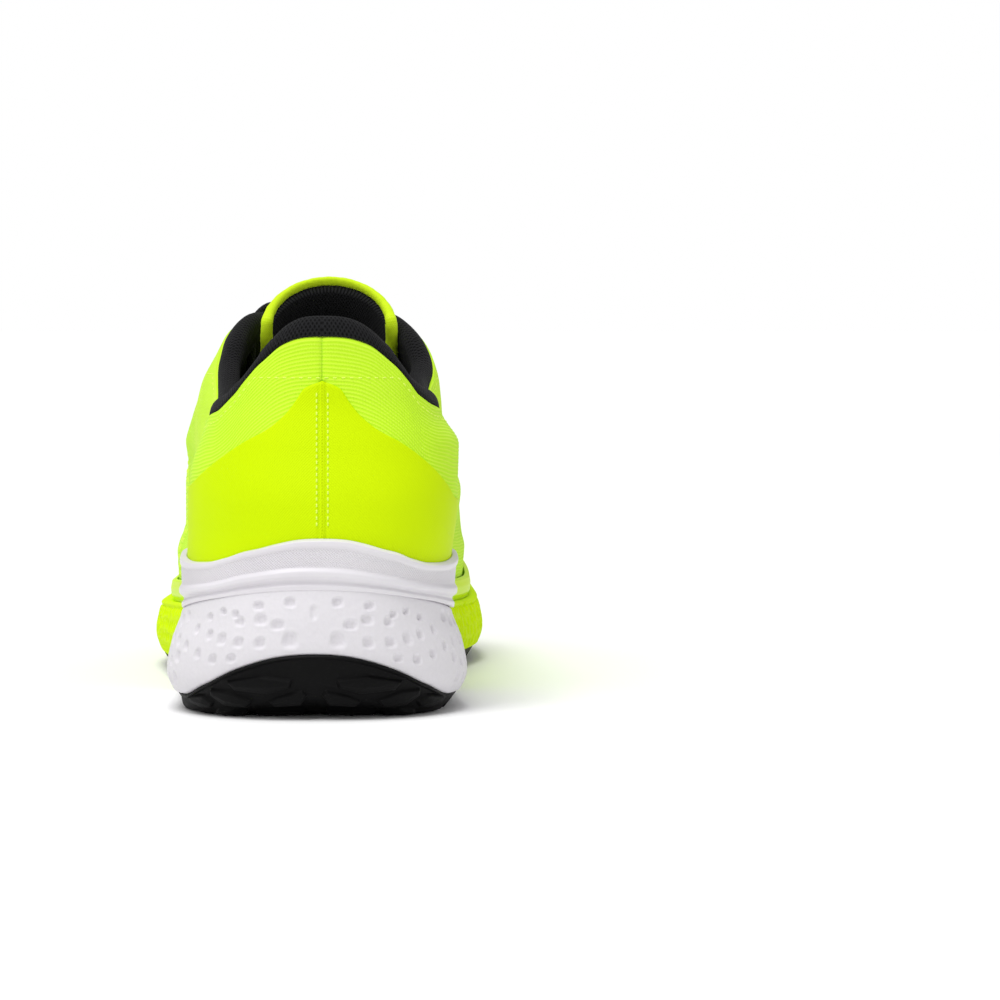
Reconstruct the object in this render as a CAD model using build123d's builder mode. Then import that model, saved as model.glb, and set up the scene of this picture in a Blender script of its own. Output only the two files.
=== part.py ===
from build123d import *
import functools
import math
import os

# Running shoe for the left foot, in millimetres.
#
# The toe points along +Y, the medial side is +X and the ground is Z = 0. Stations along the shoe are
# distances from the back of the heel, written as shares of LENGTH.

# Overall sizes
LENGTH = 286.0
HEEL_WIDTH = 84.0
BALL_LATERAL = 53.7
BALL_MEDIAL = 49.1
WAIST_LATERAL = 43.5
WAIST_MEDIAL = 37.5
STACK = 37.0
COLLAR_HEIGHT = 104.0

# Walls and clearances
OUTSOLE_BASE = 2.2
LUG_HEIGHT = 2.8
SIDE_LEDGE = 6.4
CLIP_WALL = 1.6
SHELL_WALL = 1.6
OVERLAY_WALL = 0.6
EYESTAY_WALL = 0.9
LINING_WALL = 0.9
COLLAR_PAD = 4.2
COLLAR_ROLL = 5.0
STROBEL_WALL = 1.5
INSOLE_WALL = 4.5
COUNTER_WALL = 1.0
FIT_GAP = 0.35
BOND_GAP = 0.05

# Tongue and lacing
TONGUE_RADIUS = 20.4
TONGUE_WALL = 4.6
TONGUE_TOP = 0.36
TONGUE_BINDING = 3.6
TONGUE_BASE = 0.72
THROAT_HALF = 13.0
LACE_DIAMETER = 2.8
EYELET_ROWS = 6
EYELET_DIAMETER = 4.4
EYELET_INSET = 7.0
LACE_OVER = 2.8
LACE_UNDER = 2.4
EYELET_FIRST = 0.64
EYELET_LAST = 0.40
AGLET_LENGTH = 11.0
AGLET_WALL = 0.5
LACE_EDGE = 1.0
LACE_HIGH = 4.4
LACE_LOW = 1.5
LACE_BEND = 1.5
TUCK_OUT = 1.2
TUCK_DROP = 8.0
TUCK_GAP = 1.0

HEEL_HALF = HEEL_WIDTH / 2
SIDE_SHIFT = (BALL_LATERAL - BALL_MEDIAL) / 2
FAR = LENGTH
OUTSOLE_TOTAL = OUTSOLE_BASE + LUG_HEIGHT
SLICE_STEPS = 12


def smooth(points):
    """A monotone cubic through (position, value) points, held level past both ends."""
    xs = [p[0] for p in points]
    ys = [p[1] for p in points]
    rise = [(ys[i + 1] - ys[i]) / (xs[i + 1] - xs[i]) for i in range(len(xs) - 1)]
    slope = [rise[0]]
    for before, after in zip(rise, rise[1:]):
        slope.append(0.0 if before * after <= 0 else 2 * before * after / (before + after))
    slope.append(rise[-1])

    def value(x):
        if x <= xs[0]:
            return ys[0]
        if x >= xs[-1]:
            return ys[-1]
        i = max(k for k in range(len(xs) - 1) if xs[k] <= x)
        h = xs[i + 1] - xs[i]
        t = (x - xs[i]) / h
        blend = t * t * (3 - 2 * t)
        bow = h * t * (1 - t) * (slope[i] * (1 - t) - slope[i + 1] * t)
        return ys[i] * (1 - blend) + ys[i + 1] * blend + bow

    return value


def world_y(share):
    return (share - 0.5) * LENGTH


def world_x(x):
    return x + SIDE_SHIFT


# Half widths of the sole at its widest level, on each side of the heel's centre line
sole_lateral = smooth([
    (0.0, 0.97 * HEEL_HALF), (0.12, HEEL_HALF), (0.25, 0.985 * HEEL_HALF), (0.38, WAIST_LATERAL),
    (0.52, 0.92 * BALL_LATERAL), (0.65, BALL_LATERAL), (0.77, 0.965 * BALL_LATERAL),
    (0.88, 0.885 * BALL_LATERAL), (1.0, 0.80 * BALL_LATERAL),
])
sole_medial = smooth([
    (0.0, 0.97 * HEEL_HALF), (0.12, HEEL_HALF), (0.25, 0.95 * HEEL_HALF), (0.40, WAIST_MEDIAL),
    (0.55, 0.86 * BALL_MEDIAL), (0.70, BALL_MEDIAL), (0.80, 0.955 * BALL_MEDIAL),
    (0.90, 0.89 * BALL_MEDIAL), (1.0, 0.84 * BALL_MEDIAL),
])
# The centre line swings towards the big toe
centre_line = smooth([(0.0, 0.0), (0.65, 0.0), (0.85, 2.5), (1.0, 6.0)])

# How far the sole's wall stands in from its widest level: sides, heel and toe, against height / STACK
SOLE_LEVELS = [-0.08, 0.11, 0.3, 0.54, 0.76, 1.0, 1.45]
sole_side_inset = smooth(list(zip(SOLE_LEVELS, [6.0, 2.2, 0.0, 1.6, 4.4, 5.0, 5.4])))
sole_back_inset = smooth(list(zip(SOLE_LEVELS, [14.0, 7.0, 2.6, 0.5, 0.0, 0.8, 2.4])))
sole_front_inset = smooth(list(zip(SOLE_LEVELS, [17.0, 9.0, 4.0, 1.0, 0.0, 1.2, 3.5])))

# Heights along the shoe, against the share of LENGTH
ground = smooth([(0.0, 9.0), (0.035, 4.0), (0.09, 0.0), (0.74, 0.0), (0.88, 4.5), (1.0, 13.5)])
bond = smooth([
    (0.0, 18.7), (0.02, 14.2), (0.05, 9.0), (0.10, OUTSOLE_TOTAL), (0.74, OUTSOLE_TOTAL),
    (0.88, 4.5 + OUTSOLE_TOTAL), (1.0, 14.0 + OUTSOLE_TOTAL),
])
rim = smooth([
    (0.0, STACK), (0.05, 0.89 * STACK), (0.14, 0.77 * STACK), (0.28, 0.71 * STACK), (0.42, 0.65 * STACK),
    (0.66, 0.56 * STACK), (0.78, 0.60 * STACK), (0.90, 0.72 * STACK), (1.0, 0.86 * STACK),
])
rail_top = smooth([
    (0.0, 1.36 * STACK), (0.02, 1.25 * STACK), (0.045, 1.16 * STACK), (0.12, 1.15 * STACK),
    (0.205, 1.17 * STACK), (0.24, 1.08 * STACK), (0.28, 0.93 * STACK), (0.34, 0.87 * STACK),
    (0.45, 0.82 * STACK), (0.66, 0.74 * STACK), (0.78, 0.80 * STACK), (0.90, 0.98 * STACK),
    (1.0, 1.18 * STACK),
])
seat = smooth([
    (0.0, 0.76 * STACK), (0.22, 0.72 * STACK), (0.45, 0.60 * STACK), (0.66, 0.45 * STACK),
    (0.80, 0.47 * STACK), (0.92, 0.60 * STACK), (1.0, 0.72 * STACK),
])

# The upper's outside form, against height / COLLAR_HEIGHT
FORM_LEVELS = [0.13, 0.24, 0.34, 0.43, 0.50, 0.56, 0.64, 0.74, 0.86, 0.98, 1.09, 1.22]
form_back = smooth([
    (0.13, 6.0), (0.31, 3.4), (0.43, 2.5), (0.56, 3.5), (0.71, 7.5), (0.84, 10.5), (0.94, 10.8),
    (1.02, 9.8), (1.12, 8.4), (1.22, 7.5),
])
form_front = smooth([
    (0.13, 0.972), (0.24, 0.976), (0.34, 0.974), (0.41, 0.960), (0.47, 0.925), (0.52, 0.880),
    (0.56, 0.830), (0.62, 0.760), (0.70, 0.680), (0.79, 0.597), (0.88, 0.528), (0.98, 0.468),
    (1.08, 0.410), (1.22, 0.345),
])
form_lateral = smooth([
    (0.13, 0.96), (0.31, 0.99), (0.45, 1.0), (0.77, 1.0), (0.86, 0.97), (0.96, 0.88), (1.08, 0.80),
    (1.22, 0.72),
])
form_medial = smooth([
    (0.13, 0.96), (0.31, 0.99), (0.45, 1.02), (0.60, 1.07), (0.77, 1.09), (0.86, 1.07), (0.96, 1.0),
    (1.08, 0.90), (1.22, 0.80),
])
HEEL_ROUND = 0.125
TOE_ROUND = 0.215
SOLE_HEEL_ROUND = 0.14

# The shell's upper edge in side view, against the share of LENGTH, for each side
DIP = {"lateral": 0.780, "medial": 0.797}
SIDES = {"lateral": -1, "medial": 1}


def topline(side):
    dip = DIP[side]
    shares = [
        (-0.05, 1.0), (0.034, 1.0), (0.042, 0.965), (0.052, 0.91), (0.07, 0.85), (0.105, dip + 0.023),
        (0.15, dip + 0.005), (0.20, dip), (0.245, dip + 0.03), (0.29, 0.885), (0.325, 0.965),
        (0.355, 1.02), (0.385, 1.045), (0.43, 1.05), (1.0, 1.06),
    ]
    return smooth([(share, height * COLLAR_HEIGHT) for share, height in shares])


def rounding(distance, radius):
    """Share of the full half width at a distance from a rounded end."""
    left = 1 - min(max(distance / radius, 0.0), 1.0)
    return (1 - left ** 2.2) ** (1 / 2.2)


def outline(back, front, lateral, medial, heel_round, toe_round):
    """Points of a closed plan outline: up the lateral side from the heel, back down the medial side."""
    points = []
    for side, half, steps in ((-1, lateral, range(SLICE_STEPS)), (1, medial, range(SLICE_STEPS, 0, -1))):
        for i in steps:
            y = back + (front - back) * (1 - math.cos(math.pi * i / SLICE_STEPS)) / 2
            share = y / LENGTH
            width = half(share) * rounding(y - back, heel_round) * rounding(front - y, toe_round)
            points.append((world_x(centre_line(share) + side * width), world_y(share)))
    return points


def sole_outline(level, inset=0.0):
    side = sole_side_inset(level) + inset
    return outline(
        sole_back_inset(level) + inset,
        LENGTH - sole_front_inset(level) - inset,
        lambda share: sole_lateral(share) - side,
        lambda share: sole_medial(share) - side,
        SOLE_HEEL_ROUND * LENGTH,
        TOE_ROUND * LENGTH,
    )


def form_half(side, share, level):
    """Half width of the upper's outside form before its ends are rounded."""
    if side == "lateral":
        return (sole_lateral(share) - SIDE_LEDGE) * form_lateral(level)
    return (sole_medial(share) - SIDE_LEDGE + 0.8) * form_medial(level)


def form_reach(level, grow):
    """Front end of the form at a level, moved outwards square to its surface."""
    step = 0.01
    run = (form_front(level + step) - form_front(level - step)) * LENGTH / (2 * step * COLLAR_HEIGHT)
    return form_front(level) * LENGTH + grow * math.sqrt(1 + min(run * run, 9.0))


def form_outline(level, grow=0.0):
    """The upper's form, moved outwards by grow."""
    return outline(
        form_back(level) - grow,
        form_reach(level, grow),
        lambda share: form_half("lateral", share, level) + grow,
        lambda share: form_half("medial", share, level) + grow,
        HEEL_ROUND * LENGTH,
        TOE_ROUND * LENGTH,
    )


def ridge(share):
    """Height of the form's top line at a station, found by halving."""
    low, high = FORM_LEVELS[0], FORM_LEVELS[-1]
    for _ in range(30):
        middle = (low + high) / 2
        if form_front(middle) > share:
            low = middle
        else:
            high = middle
    return low * COLLAR_HEIGHT


def stack_of_slices(levels, height, plan):
    with BuildPart() as body:
        for level in levels:
            with BuildSketch(Plane.XY.offset(level * height)):
                with BuildLine():
                    Spline(*plan(level), periodic=True)
                make_face()
        loft()
    return body.part


def sole_form(inset=0.0):
    return stack_of_slices(SOLE_LEVELS, STACK, lambda level: sole_outline(level, inset))


@functools.cache
def foot_form(grow=0.0):
    return stack_of_slices(FORM_LEVELS, COLLAR_HEIGHT, lambda level: form_outline(level, grow))


def side_region(low, high, start, end, steps=24):
    """A slab across the whole width, between two curves in side view."""
    shares = [start + (end - start) * i / steps for i in range(steps + 1)]
    with BuildPart() as region:
        with BuildSketch(Plane.YZ):
            with BuildLine():
                lower = Spline(*[(world_y(s), low(s)) for s in shares])
                upper = Spline(*[(world_y(s), high(s)) for s in shares])
                Line(lower @ 0, upper @ 0)
                Line(lower @ 1, upper @ 1)
            make_face()
        extrude(amount=FAR, both=True)
    return region.part


def raised(curve, by):
    return lambda share: curve(share) + by


def above(curve, start=-0.05, end=1.05):
    return side_region(curve, lambda share: 2 * COLLAR_HEIGHT, start, end)


def topped(side, by=0.0):
    """Everything below one side's top edge."""
    return side_region(lambda share: -COLLAR_HEIGHT, raised(topline(side), by), -0.05, 1.05, 110)


def half_space(side):
    """The lateral or the medial half of the shoe, as a block."""
    with BuildPart() as half:
        with Locations((world_x(SIDES[side] * (BOND_GAP / 2 + FAR / 2)), 0, 0)):
            Box(FAR, 2 * FAR, 2 * FAR)
    return half.part


THROAT_STATIONS = [0.31, 0.38, 0.46, 0.56, 0.63]
throat_flare = smooth(list(zip(THROAT_STATIONS, [7.5, 4.0, 1.2, 0.0, -1.0])))
throat_lean = smooth([(0.35, 2.6), (0.69, 1.0)])


def throat_centre(share):
    return world_x(throat_lean(share))


def throat_edge(share, side):
    return throat_centre(share) + SIDES[side] * (THROAT_HALF + throat_flare(share))


def throat_region(grow=0.0):
    """The opening for the tongue, in plan, as a tall prism."""
    with BuildPart() as prism:
        with BuildSketch(Plane.XY):
            with BuildLine():
                edges = []
                for side, sign in SIDES.items():
                    points = [(throat_edge(s, side) + sign * grow, world_y(s)) for s in THROAT_STATIONS]
                    edges.append(Spline(*points))
                Line(edges[0] @ 0, edges[1] @ 0)
                end = (throat_centre(THROAT_END), world_y(THROAT_END) + grow)
                ThreePointArc(edges[0] @ 1, end, edges[1] @ 1)
            make_face()
        extrude(amount=2 * COLLAR_HEIGHT)
    return prism.part


def surface_height(x, share, grow=0.0):
    """Height of the form's upper surface over a point of the plan, found by halving."""
    side = "lateral" if x < world_x(centre_line(share)) else "medial"
    reach = abs(x - world_x(centre_line(share)))
    low, high = 0.45, FORM_LEVELS[-1]
    for _ in range(30):
        level = (low + high) / 2
        front = form_reach(level, grow)
        width = (form_half(side, share, level) + grow) * rounding(
            front - share * LENGTH, TOE_ROUND * LENGTH)
        if width > reach:
            low = level
        else:
            high = level
    return low * COLLAR_HEIGHT


THROAT_END = 0.69
SEAM = 0.60
COLOUR_SPLIT = 0.36
LINING_SPLIT = 0.36
COLLAR_TO_TONGUE = 2.2
HEEL_OVERLAY_END = 0.247
OUTSOLE_GAP = (0.40, 0.46)
HEEL_CONTACT = 0.09
TOE_CONTACT = 0.74
GROOVE_PITCH = 17.0
GROOVE_WIDTH = 4.6

STIFFENER_OUT = -(SHELL_WALL + BOND_GAP)
LINING_OUT = STIFFENER_OUT - COUNTER_WALL - BOND_GAP
LINING_IN = LINING_OUT - LINING_WALL
PAD_IN = STIFFENER_OUT - COLLAR_PAD
COLLAR_LINING_IN = PAD_IN - BOND_GAP - LINING_WALL
OVERLAY_OUT = BOND_GAP + OVERLAY_WALL
CLIP_IN = OVERLAY_OUT + BOND_GAP
CLIP_OUT = CLIP_IN + CLIP_WALL
EYESTAY_OUT = BOND_GAP + EYESTAY_WALL
PAD_BOTTOM = 0.56 * COLLAR_HEIGHT


@functools.cache
def between(grow_out, grow_in):
    """The layer of the upper between two offsets of its outside form."""
    with BuildPart() as layer:
        add(foot_form(grow_out))
        add(foot_form(grow_in), mode=Mode.SUBTRACT)
    return layer.part


def slanted_cut(share, front, lean=0.35):
    """All that lies ahead of or behind a plane that leans forwards at its foot."""
    plane = Plane(origin=(0, world_y(share), STACK), z_dir=(0, 1, lean))
    with BuildPart() as block:
        with BuildSketch(plane):
            Rectangle(2 * FAR, 2 * FAR)
        extrude(amount=FAR if front else -FAR)
    return block.part


def finished(part, name):
    """Labels a piece and writes it."""
    part.label = name
    export_step(part, f"parts/{name}.step")
    print(f"{name}: {len(part.solids())} solid(s), {part.volume:.0f} mm3, valid {part.is_valid}", flush=True)
    return part


# Sole -------------------------------------------------------------------------------------------

def make_midsole():
    with BuildPart() as pocket:
        add(foot_form(BOND_GAP))
        add(above(seat), mode=Mode.INTERSECT)
    with BuildPart() as foam:
        add(sole_form())
        add(side_region(bond, rim, -0.01, 1.01, 48), mode=Mode.INTERSECT)
        add(pocket.part, mode=Mode.SUBTRACT)
    for name, front in (("midsole_rear", False), ("midsole_front", True)):
        with BuildPart() as half:
            add(foam.part)
            add(slanted_cut(COLOUR_SPLIT + (0.0003 if front else 0), front, -0.5), mode=Mode.INTERSECT)
        finished(half.part, name)


def tread_region():
    """From the ground to the bond line in side view, dead flat where the shoe stands."""
    heel = [HEEL_CONTACT * i / 4 for i in range(5)]
    toe = [TOE_CONTACT + (1.01 - TOE_CONTACT) * i / 6 for i in range(7)]
    top = [-0.01 + 1.02 * i / 48 for i in range(49)]
    with BuildPart() as region:
        with BuildSketch(Plane.YZ):
            with BuildLine():
                back = Spline(*[(world_y(s), ground(s)) for s in [-0.01] + heel[1:]])
                flat = Line(back @ 1, (world_y(TOE_CONTACT), 0))
                front = Spline(*[(world_y(s), ground(s)) for s in toe], tangents=[(1, 0), (1, 0.25)])
                upper = Spline(*[(world_y(s), bond(s) - BOND_GAP) for s in top])
                Line(back @ 0, upper @ 0)
                Line(front @ 1, upper @ 1)
            make_face()
        extrude(amount=FAR, both=True)
    return region.part


def grooves(start, end):
    """Channels between the lugs: chevrons across the sole and one channel down the middle."""
    rows = max(1, round((end - start) * LENGTH / GROOVE_PITCH))
    step = (end - start) / rows
    with BuildPart() as channels:
        for row in range(rows):
            share = start + (row + 0.5) * step
            tilt = math.degrees(math.atan2(ground(share + 0.01) - ground(share - 0.01), 0.02 * LENGTH))
            for sign in (-1, 1):
                with Locations(Location((world_x(0), world_y(share), ground(share)), (tilt, 0, 0))):
                    with Locations(Location((sign * 33, 4, 0), (0, 0, sign * 14))):
                        Box(72, GROOVE_WIDTH, 2 * LUG_HEIGHT)
        for share in [start + (row + 0.5) * step / 2 for row in range(2 * rows)]:
            tilt = math.degrees(math.atan2(ground(share + 0.01) - ground(share - 0.01), 0.02 * LENGTH))
            with Locations(Location((world_x(0), world_y(share), ground(share)), (tilt, 0, 0))):
                Box(GROOVE_WIDTH, step * LENGTH / 2 + 0.4, 2 * LUG_HEIGHT)
    return channels.part


def make_outsole():
    with BuildPart() as tread:
        add(sole_form(0.5))
        add(tread_region(), mode=Mode.INTERSECT)
    spans = {"outsole_rear": (-0.01, OUTSOLE_GAP[0]), "outsole_front": (OUTSOLE_GAP[1], 1.01)}
    for name, (start, end) in spans.items():
        with BuildPart() as rubber:
            add(tread.part)
            with Locations((0, world_y((start + end) / 2), 0)):
                Box(2 * FAR, (end - start) * LENGTH, 2 * FAR, mode=Mode.INTERSECT)
            add(grooves(max(start, 0.03), min(end, 0.97)), mode=Mode.SUBTRACT)
        finished(rubber.part, name)


def make_rails():
    with BuildPart() as wall:
        add(between(CLIP_OUT, CLIP_IN))
        add(side_region(raised(rim, BOND_GAP), rail_top, -0.05, 1.05, 60), mode=Mode.INTERSECT)
    for name, front in (("heel_clip", False), ("front_rail", True)):
        with BuildPart() as rail:
            add(wall.part)
            add(slanted_cut(COLOUR_SPLIT + (0.0003 if front else 0), front, -0.5), mode=Mode.INTERSECT)
        finished(rail.part, name)


def make_footbed():
    with BuildPart() as board:
        add(foot_form(STIFFENER_OUT))
        add(side_region(raised(seat, BOND_GAP), raised(seat, STROBEL_WALL), -0.05, 1.05, 48),
            mode=Mode.INTERSECT)
    finished(board.part, "strobel_board")
    bottom = STROBEL_WALL + 0.1
    with BuildPart() as insole:
        add(foot_form(LINING_IN - 2 * FIT_GAP))
        add(side_region(raised(seat, bottom), raised(seat, bottom + INSOLE_WALL), -0.05, 1.05, 48),
            mode=Mode.INTERSECT)
    finished(insole.part, "insole")


# Upper ------------------------------------------------------------------------------------------

def make_shell():
    with BuildPart() as shell:
        add(between(0, -SHELL_WALL))
        add(above(seat), mode=Mode.INTERSECT)
        add(throat_region(), mode=Mode.SUBTRACT)
        add(eyelet_prisms(), mode=Mode.SUBTRACT)
    with BuildPart() as vamp:
        add(shell.part)
        add(slanted_cut(SEAM + 0.0003, True), mode=Mode.INTERSECT)
    finished(vamp.part, "vamp")
    for side in SIDES:
        with BuildPart() as quarter:
            add(shell.part)
            add(slanted_cut(SEAM, False), mode=Mode.INTERSECT)
            add(half_space(side), mode=Mode.INTERSECT)
            add(topped(side), mode=Mode.INTERSECT)
        finished(quarter.part, f"quarter_{side}")


def pad_zone(side, low, top, end=0.36):
    """One side of the collar, from a height up to an offset of its top edge."""
    with BuildPart() as zone:
        add(side_region(low, raised(topline(side), top), -0.05, end, 41))
        add(half_space(side), mode=Mode.INTERSECT)
    return zone.part


def make_collar():
    pad_layer = between(STIFFENER_OUT, PAD_IN)
    skin_layer = between(PAD_IN - BOND_GAP, COLLAR_LINING_IN)
    roll_layer = between(-0.6, COLLAR_LINING_IN)
    clear_of_tongue = throat_region(COLLAR_TO_TONGUE)
    for side in SIDES:
        with BuildPart() as pad:
            add(pad_layer)
            add(pad_zone(side, lambda share: PAD_BOTTOM, -BOND_GAP), mode=Mode.INTERSECT)
            add(clear_of_tongue, mode=Mode.SUBTRACT)
        finished(pad.part, f"collar_pad_{side}")
        with BuildPart() as roll:
            add(roll_layer)
            add(pad_zone(side, raised(topline(side), 3 * BOND_GAP), COLLAR_ROLL), mode=Mode.INTERSECT)
        with BuildPart() as lining:
            add(skin_layer)
            add(pad_zone(side, lambda share: PAD_BOTTOM, COLLAR_ROLL), mode=Mode.INTERSECT)
            add(roll.part)
            add(clear_of_tongue, mode=Mode.SUBTRACT)
        finished(lining.part, f"collar_lining_{side}")


def make_linings():
    with BuildPart() as heel_lining:
        add(between(LINING_OUT, LINING_IN))
        add(side_region(raised(seat, STROBEL_WALL + BOND_GAP), lambda share: PAD_BOTTOM - BOND_GAP,
                        -0.05, LINING_SPLIT), mode=Mode.INTERSECT)
    finished(heel_lining.part, "heel_lining")
    with BuildPart() as vamp_lining:
        add(between(LINING_OUT, LINING_IN))
        add(above(raised(seat, STROBEL_WALL + BOND_GAP), LINING_SPLIT + 0.0003), mode=Mode.INTERSECT)
        add(topped("medial"), mode=Mode.INTERSECT)
        add(throat_region(), mode=Mode.SUBTRACT)
        add(eyelet_prisms(), mode=Mode.SUBTRACT)
    finished(vamp_lining.part, "vamp_lining")


def make_stiffeners():
    stiff = between(STIFFENER_OUT, STIFFENER_OUT - COUNTER_WALL)
    counter_top = smooth([(0.0, 0.52), (0.12, 0.50), (0.2, 0.44), (0.26, 0.36)])
    puff_top = smooth([(0.86, 0.26), (0.92, 0.36), (1.0, 0.42)])
    low = raised(seat, STROBEL_WALL + BOND_GAP)
    for name, top, start, end in (
        ("heel_counter", lambda share: counter_top(share) * COLLAR_HEIGHT, -0.05, 0.26),
        ("toe_puff", lambda share: puff_top(share) * COLLAR_HEIGHT, 0.88, 1.05),
    ):
        with BuildPart() as cup:
            add(stiff)
            add(side_region(low, top, start, end), mode=Mode.INTERSECT)
        finished(cup.part, name)


def rear_profile():
    """The heel overlay's outline in rear view: half of it, from the seam to the front edge."""
    return [(0.0, 0.885), (4.7, 0.866), (7.6, 0.826), (10.4, 0.793), (15.0, 0.757), (21.5, 0.722),
            (29.5, 0.664), (35.0, 0.605), (60.0, 0.50)]


def make_overlays():
    skin = between(OVERLAY_OUT, BOND_GAP)
    for side, sign in SIDES.items():
        edge = [(world_x(sign * (x + BOND_GAP / 2)), z * COLLAR_HEIGHT) for x, z in rear_profile()]
        with BuildPart() as overlay:
            add(skin)
            with BuildSketch(Plane.XZ):
                with BuildLine():
                    curve = Spline(*edge)
                    Polyline(curve @ 1, (edge[-1][0], 0), (edge[0][0], 0), curve @ 0)
                make_face()
            extrude(amount=FAR, both=True, mode=Mode.INTERSECT)
            add(slanted_cut(HEEL_OVERLAY_END, False, 0.92), mode=Mode.INTERSECT)
            add(above(raised(rim, BOND_GAP), -0.05, 0.3), mode=Mode.INTERSECT)
        finished(overlay.part, f"heel_overlay_{side}")
    with BuildPart() as cap:
        add(skin)
        cap_top = smooth([(0.86, 0.30), (0.92, 0.40), (1.0, 0.46)])
        add(side_region(raised(rim, BOND_GAP), lambda share: cap_top(share) * COLLAR_HEIGHT, 0.87, 1.05),
            mode=Mode.INTERSECT)
    finished(cap.part, "toe_cap")


def eyelet_points(side):
    """Plan position of each eyelet, from the toe end up."""
    rows = []
    for row in range(EYELET_ROWS):
        share = EYELET_FIRST + (EYELET_LAST - EYELET_FIRST) * row / (EYELET_ROWS - 1)
        rows.append((throat_edge(share, side) + SIDES[side] * EYELET_INSET, share))
    return rows


@functools.cache
def eyelet_prisms():
    with BuildPart() as pins:
        for side in SIDES:
            for x, share in eyelet_points(side):
                with Locations((x, world_y(share), COLLAR_HEIGHT)):
                    Cylinder(EYELET_DIAMETER / 2, COLLAR_HEIGHT)
    return pins.part


def make_eyestays():
    skin = between(EYESTAY_OUT, BOND_GAP)
    for side, sign in SIDES.items():
        inner = [(throat_edge(s, side), world_y(s)) for s in (0.38, 0.46, 0.56, 0.63)]
        outer = [(x + sign * 2 * EYELET_INSET, y) for x, y in inner]
        with BuildPart() as stay:
            add(skin)
            with BuildSketch(Plane.XY):
                with BuildLine():
                    near = Spline(*inner)
                    away = Spline(*outer)
                    Line(near @ 0, away @ 0)
                    Line(near @ 1, away @ 1)
                make_face()
            extrude(amount=2 * COLLAR_HEIGHT, mode=Mode.INTERSECT)
            add(above(lambda share: 0.5 * COLLAR_HEIGHT, 0.3, 0.8), mode=Mode.INTERSECT)
            add(topped(side), mode=Mode.INTERSECT)
            add(eyelet_prisms(), mode=Mode.SUBTRACT)
        finished(stay.part, f"eyestay_{side}")


# Tongue -----------------------------------------------------------------------------------------

tongue_drop = smooth([(0.345, 6.0), (0.46, 9.2), (0.63, 9.2), (0.72, 4.4)])


def crown(share):
    """Height of the tongue's outside crown."""
    return ridge(share) - tongue_drop(share)


def tongue_frame(share):
    """A plane square to the tongue at a station, its origin on the crown and its Y pointing out."""
    step = 0.01
    run = 2 * step * LENGTH
    rise = crown(share - step) - crown(share + step)
    along = Vector(0, -run, rise).normalized()
    return Plane(
        origin=(throat_centre(share), world_y(share), crown(share)),
        x_dir=(1, 0, 0),
        z_dir=(along.X, along.Y, along.Z),
    )


tongue_radius = smooth([(0.345, TONGUE_RADIUS), (0.50, 1.15 * TONGUE_RADIUS), (0.72, 1.6 * TONGUE_RADIUS)])
tongue_spread = smooth([(0.345, 84.0), (0.42, 72.0), (0.55, 46.0), (0.72, 27.0)])


def tongue_layer(outer, inner, shares, margin=0.0):
    """A curved strip between two depths below the tongue's outside."""
    with BuildPart() as strip:
        for share in shares:
            radius = tongue_radius(share)
            spread = math.radians(tongue_spread(share)) - margin / radius
            with BuildSketch(tongue_frame(share)):
                with BuildLine():
                    ends = []
                    for depth in (outer, inner):
                        r = radius - depth
                        corner = (r * math.sin(spread), r * math.cos(spread) - radius)
                        ThreePointArc((-corner[0], corner[1]), (0, -depth), corner)
                        ends.append(corner)
                    for sign in (-1, 1):
                        Line((sign * ends[0][0], ends[0][1]), (sign * ends[1][0], ends[1][1]))
                make_face()
        loft()
    return strip.part


def make_tongue():
    shares = [TONGUE_TOP + (TONGUE_BASE - TONGUE_TOP) * i / 6 for i in range(7)]
    skin, cloth = 1.2, 0.9
    layers = {
        "tongue_shell": (0.0, skin),
        "tongue_pad": (skin + BOND_GAP, TONGUE_WALL - cloth - BOND_GAP),
        "tongue_lining": (TONGUE_WALL - cloth, TONGUE_WALL),
    }
    for name, (outer, inner) in layers.items():
        finished(tongue_layer(outer, inner, shares), name)
    binding = TONGUE_BINDING / LENGTH
    top = [TONGUE_TOP - binding, TONGUE_TOP - binding / 2, TONGUE_TOP - 0.0003]
    finished(tongue_layer(-0.4, TONGUE_WALL + 0.4, top, -0.4), "tongue_binding")


# Lacing -----------------------------------------------------------------------------------------

def hole(row, side, offset, inward=0.0):
    """A point over (offset > 0) or under an eyelet, measured from the stay's two faces."""
    x, share = eyelet_points(side)[row]
    x -= SIDES[side] * inward
    grow = EYESTAY_OUT if offset > 0 else LINING_IN
    return (x, world_y(share), surface_height(x, share, grow) + offset)


def middle(row, lift):
    """The crossing point above the tongue, between one row and the next."""
    share = (eyelet_points("lateral")[row][1] + eyelet_points("lateral")[row + 1][1]) / 2
    return (throat_centre(share), world_y(share), crown(share) + LACE_DIAMETER / 2 + lift)


def lace_half(start):
    """Way points of one end of the lace, from the middle of the lowest bar to its last eyelet."""
    over, under, edge = LACE_OVER, -LACE_UNDER, EYELET_INSET + LACE_EDGE
    across = {"lateral": "medial", "medial": "lateral"}
    side, last = start, EYELET_ROWS - 1
    points = [hole(0, side, under, EYELET_INSET), hole(0, side, under), hole(0, side, over)]
    for row in range(last):
        points.append(hole(row, side, over, edge))
        points.append(middle(row, LACE_HIGH if (start == "lateral") == (row % 2 == 0) else LACE_LOW))
        side = across[side]
        if row + 1 < last:
            points += [hole(row + 1, side, under, edge), hole(row + 1, side, under), hole(row + 1, side, over)]
    points += [hole(last, side, over, edge), hole(last, side, over)]
    return points, side


def tucked_end(side):
    """The free end: down through the last eyelet and inside the upper, beside the tongue."""
    inside = hole(EYELET_ROWS - 1, side, -LACE_UNDER)
    x, y = inside[0] + SIDES[side] * TUCK_OUT, inside[1]
    return [inside, (x, y, inside[2] - TUCK_DROP), (x, y, inside[2] - TUCK_DROP - AGLET_LENGTH - TUCK_GAP)]


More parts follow.
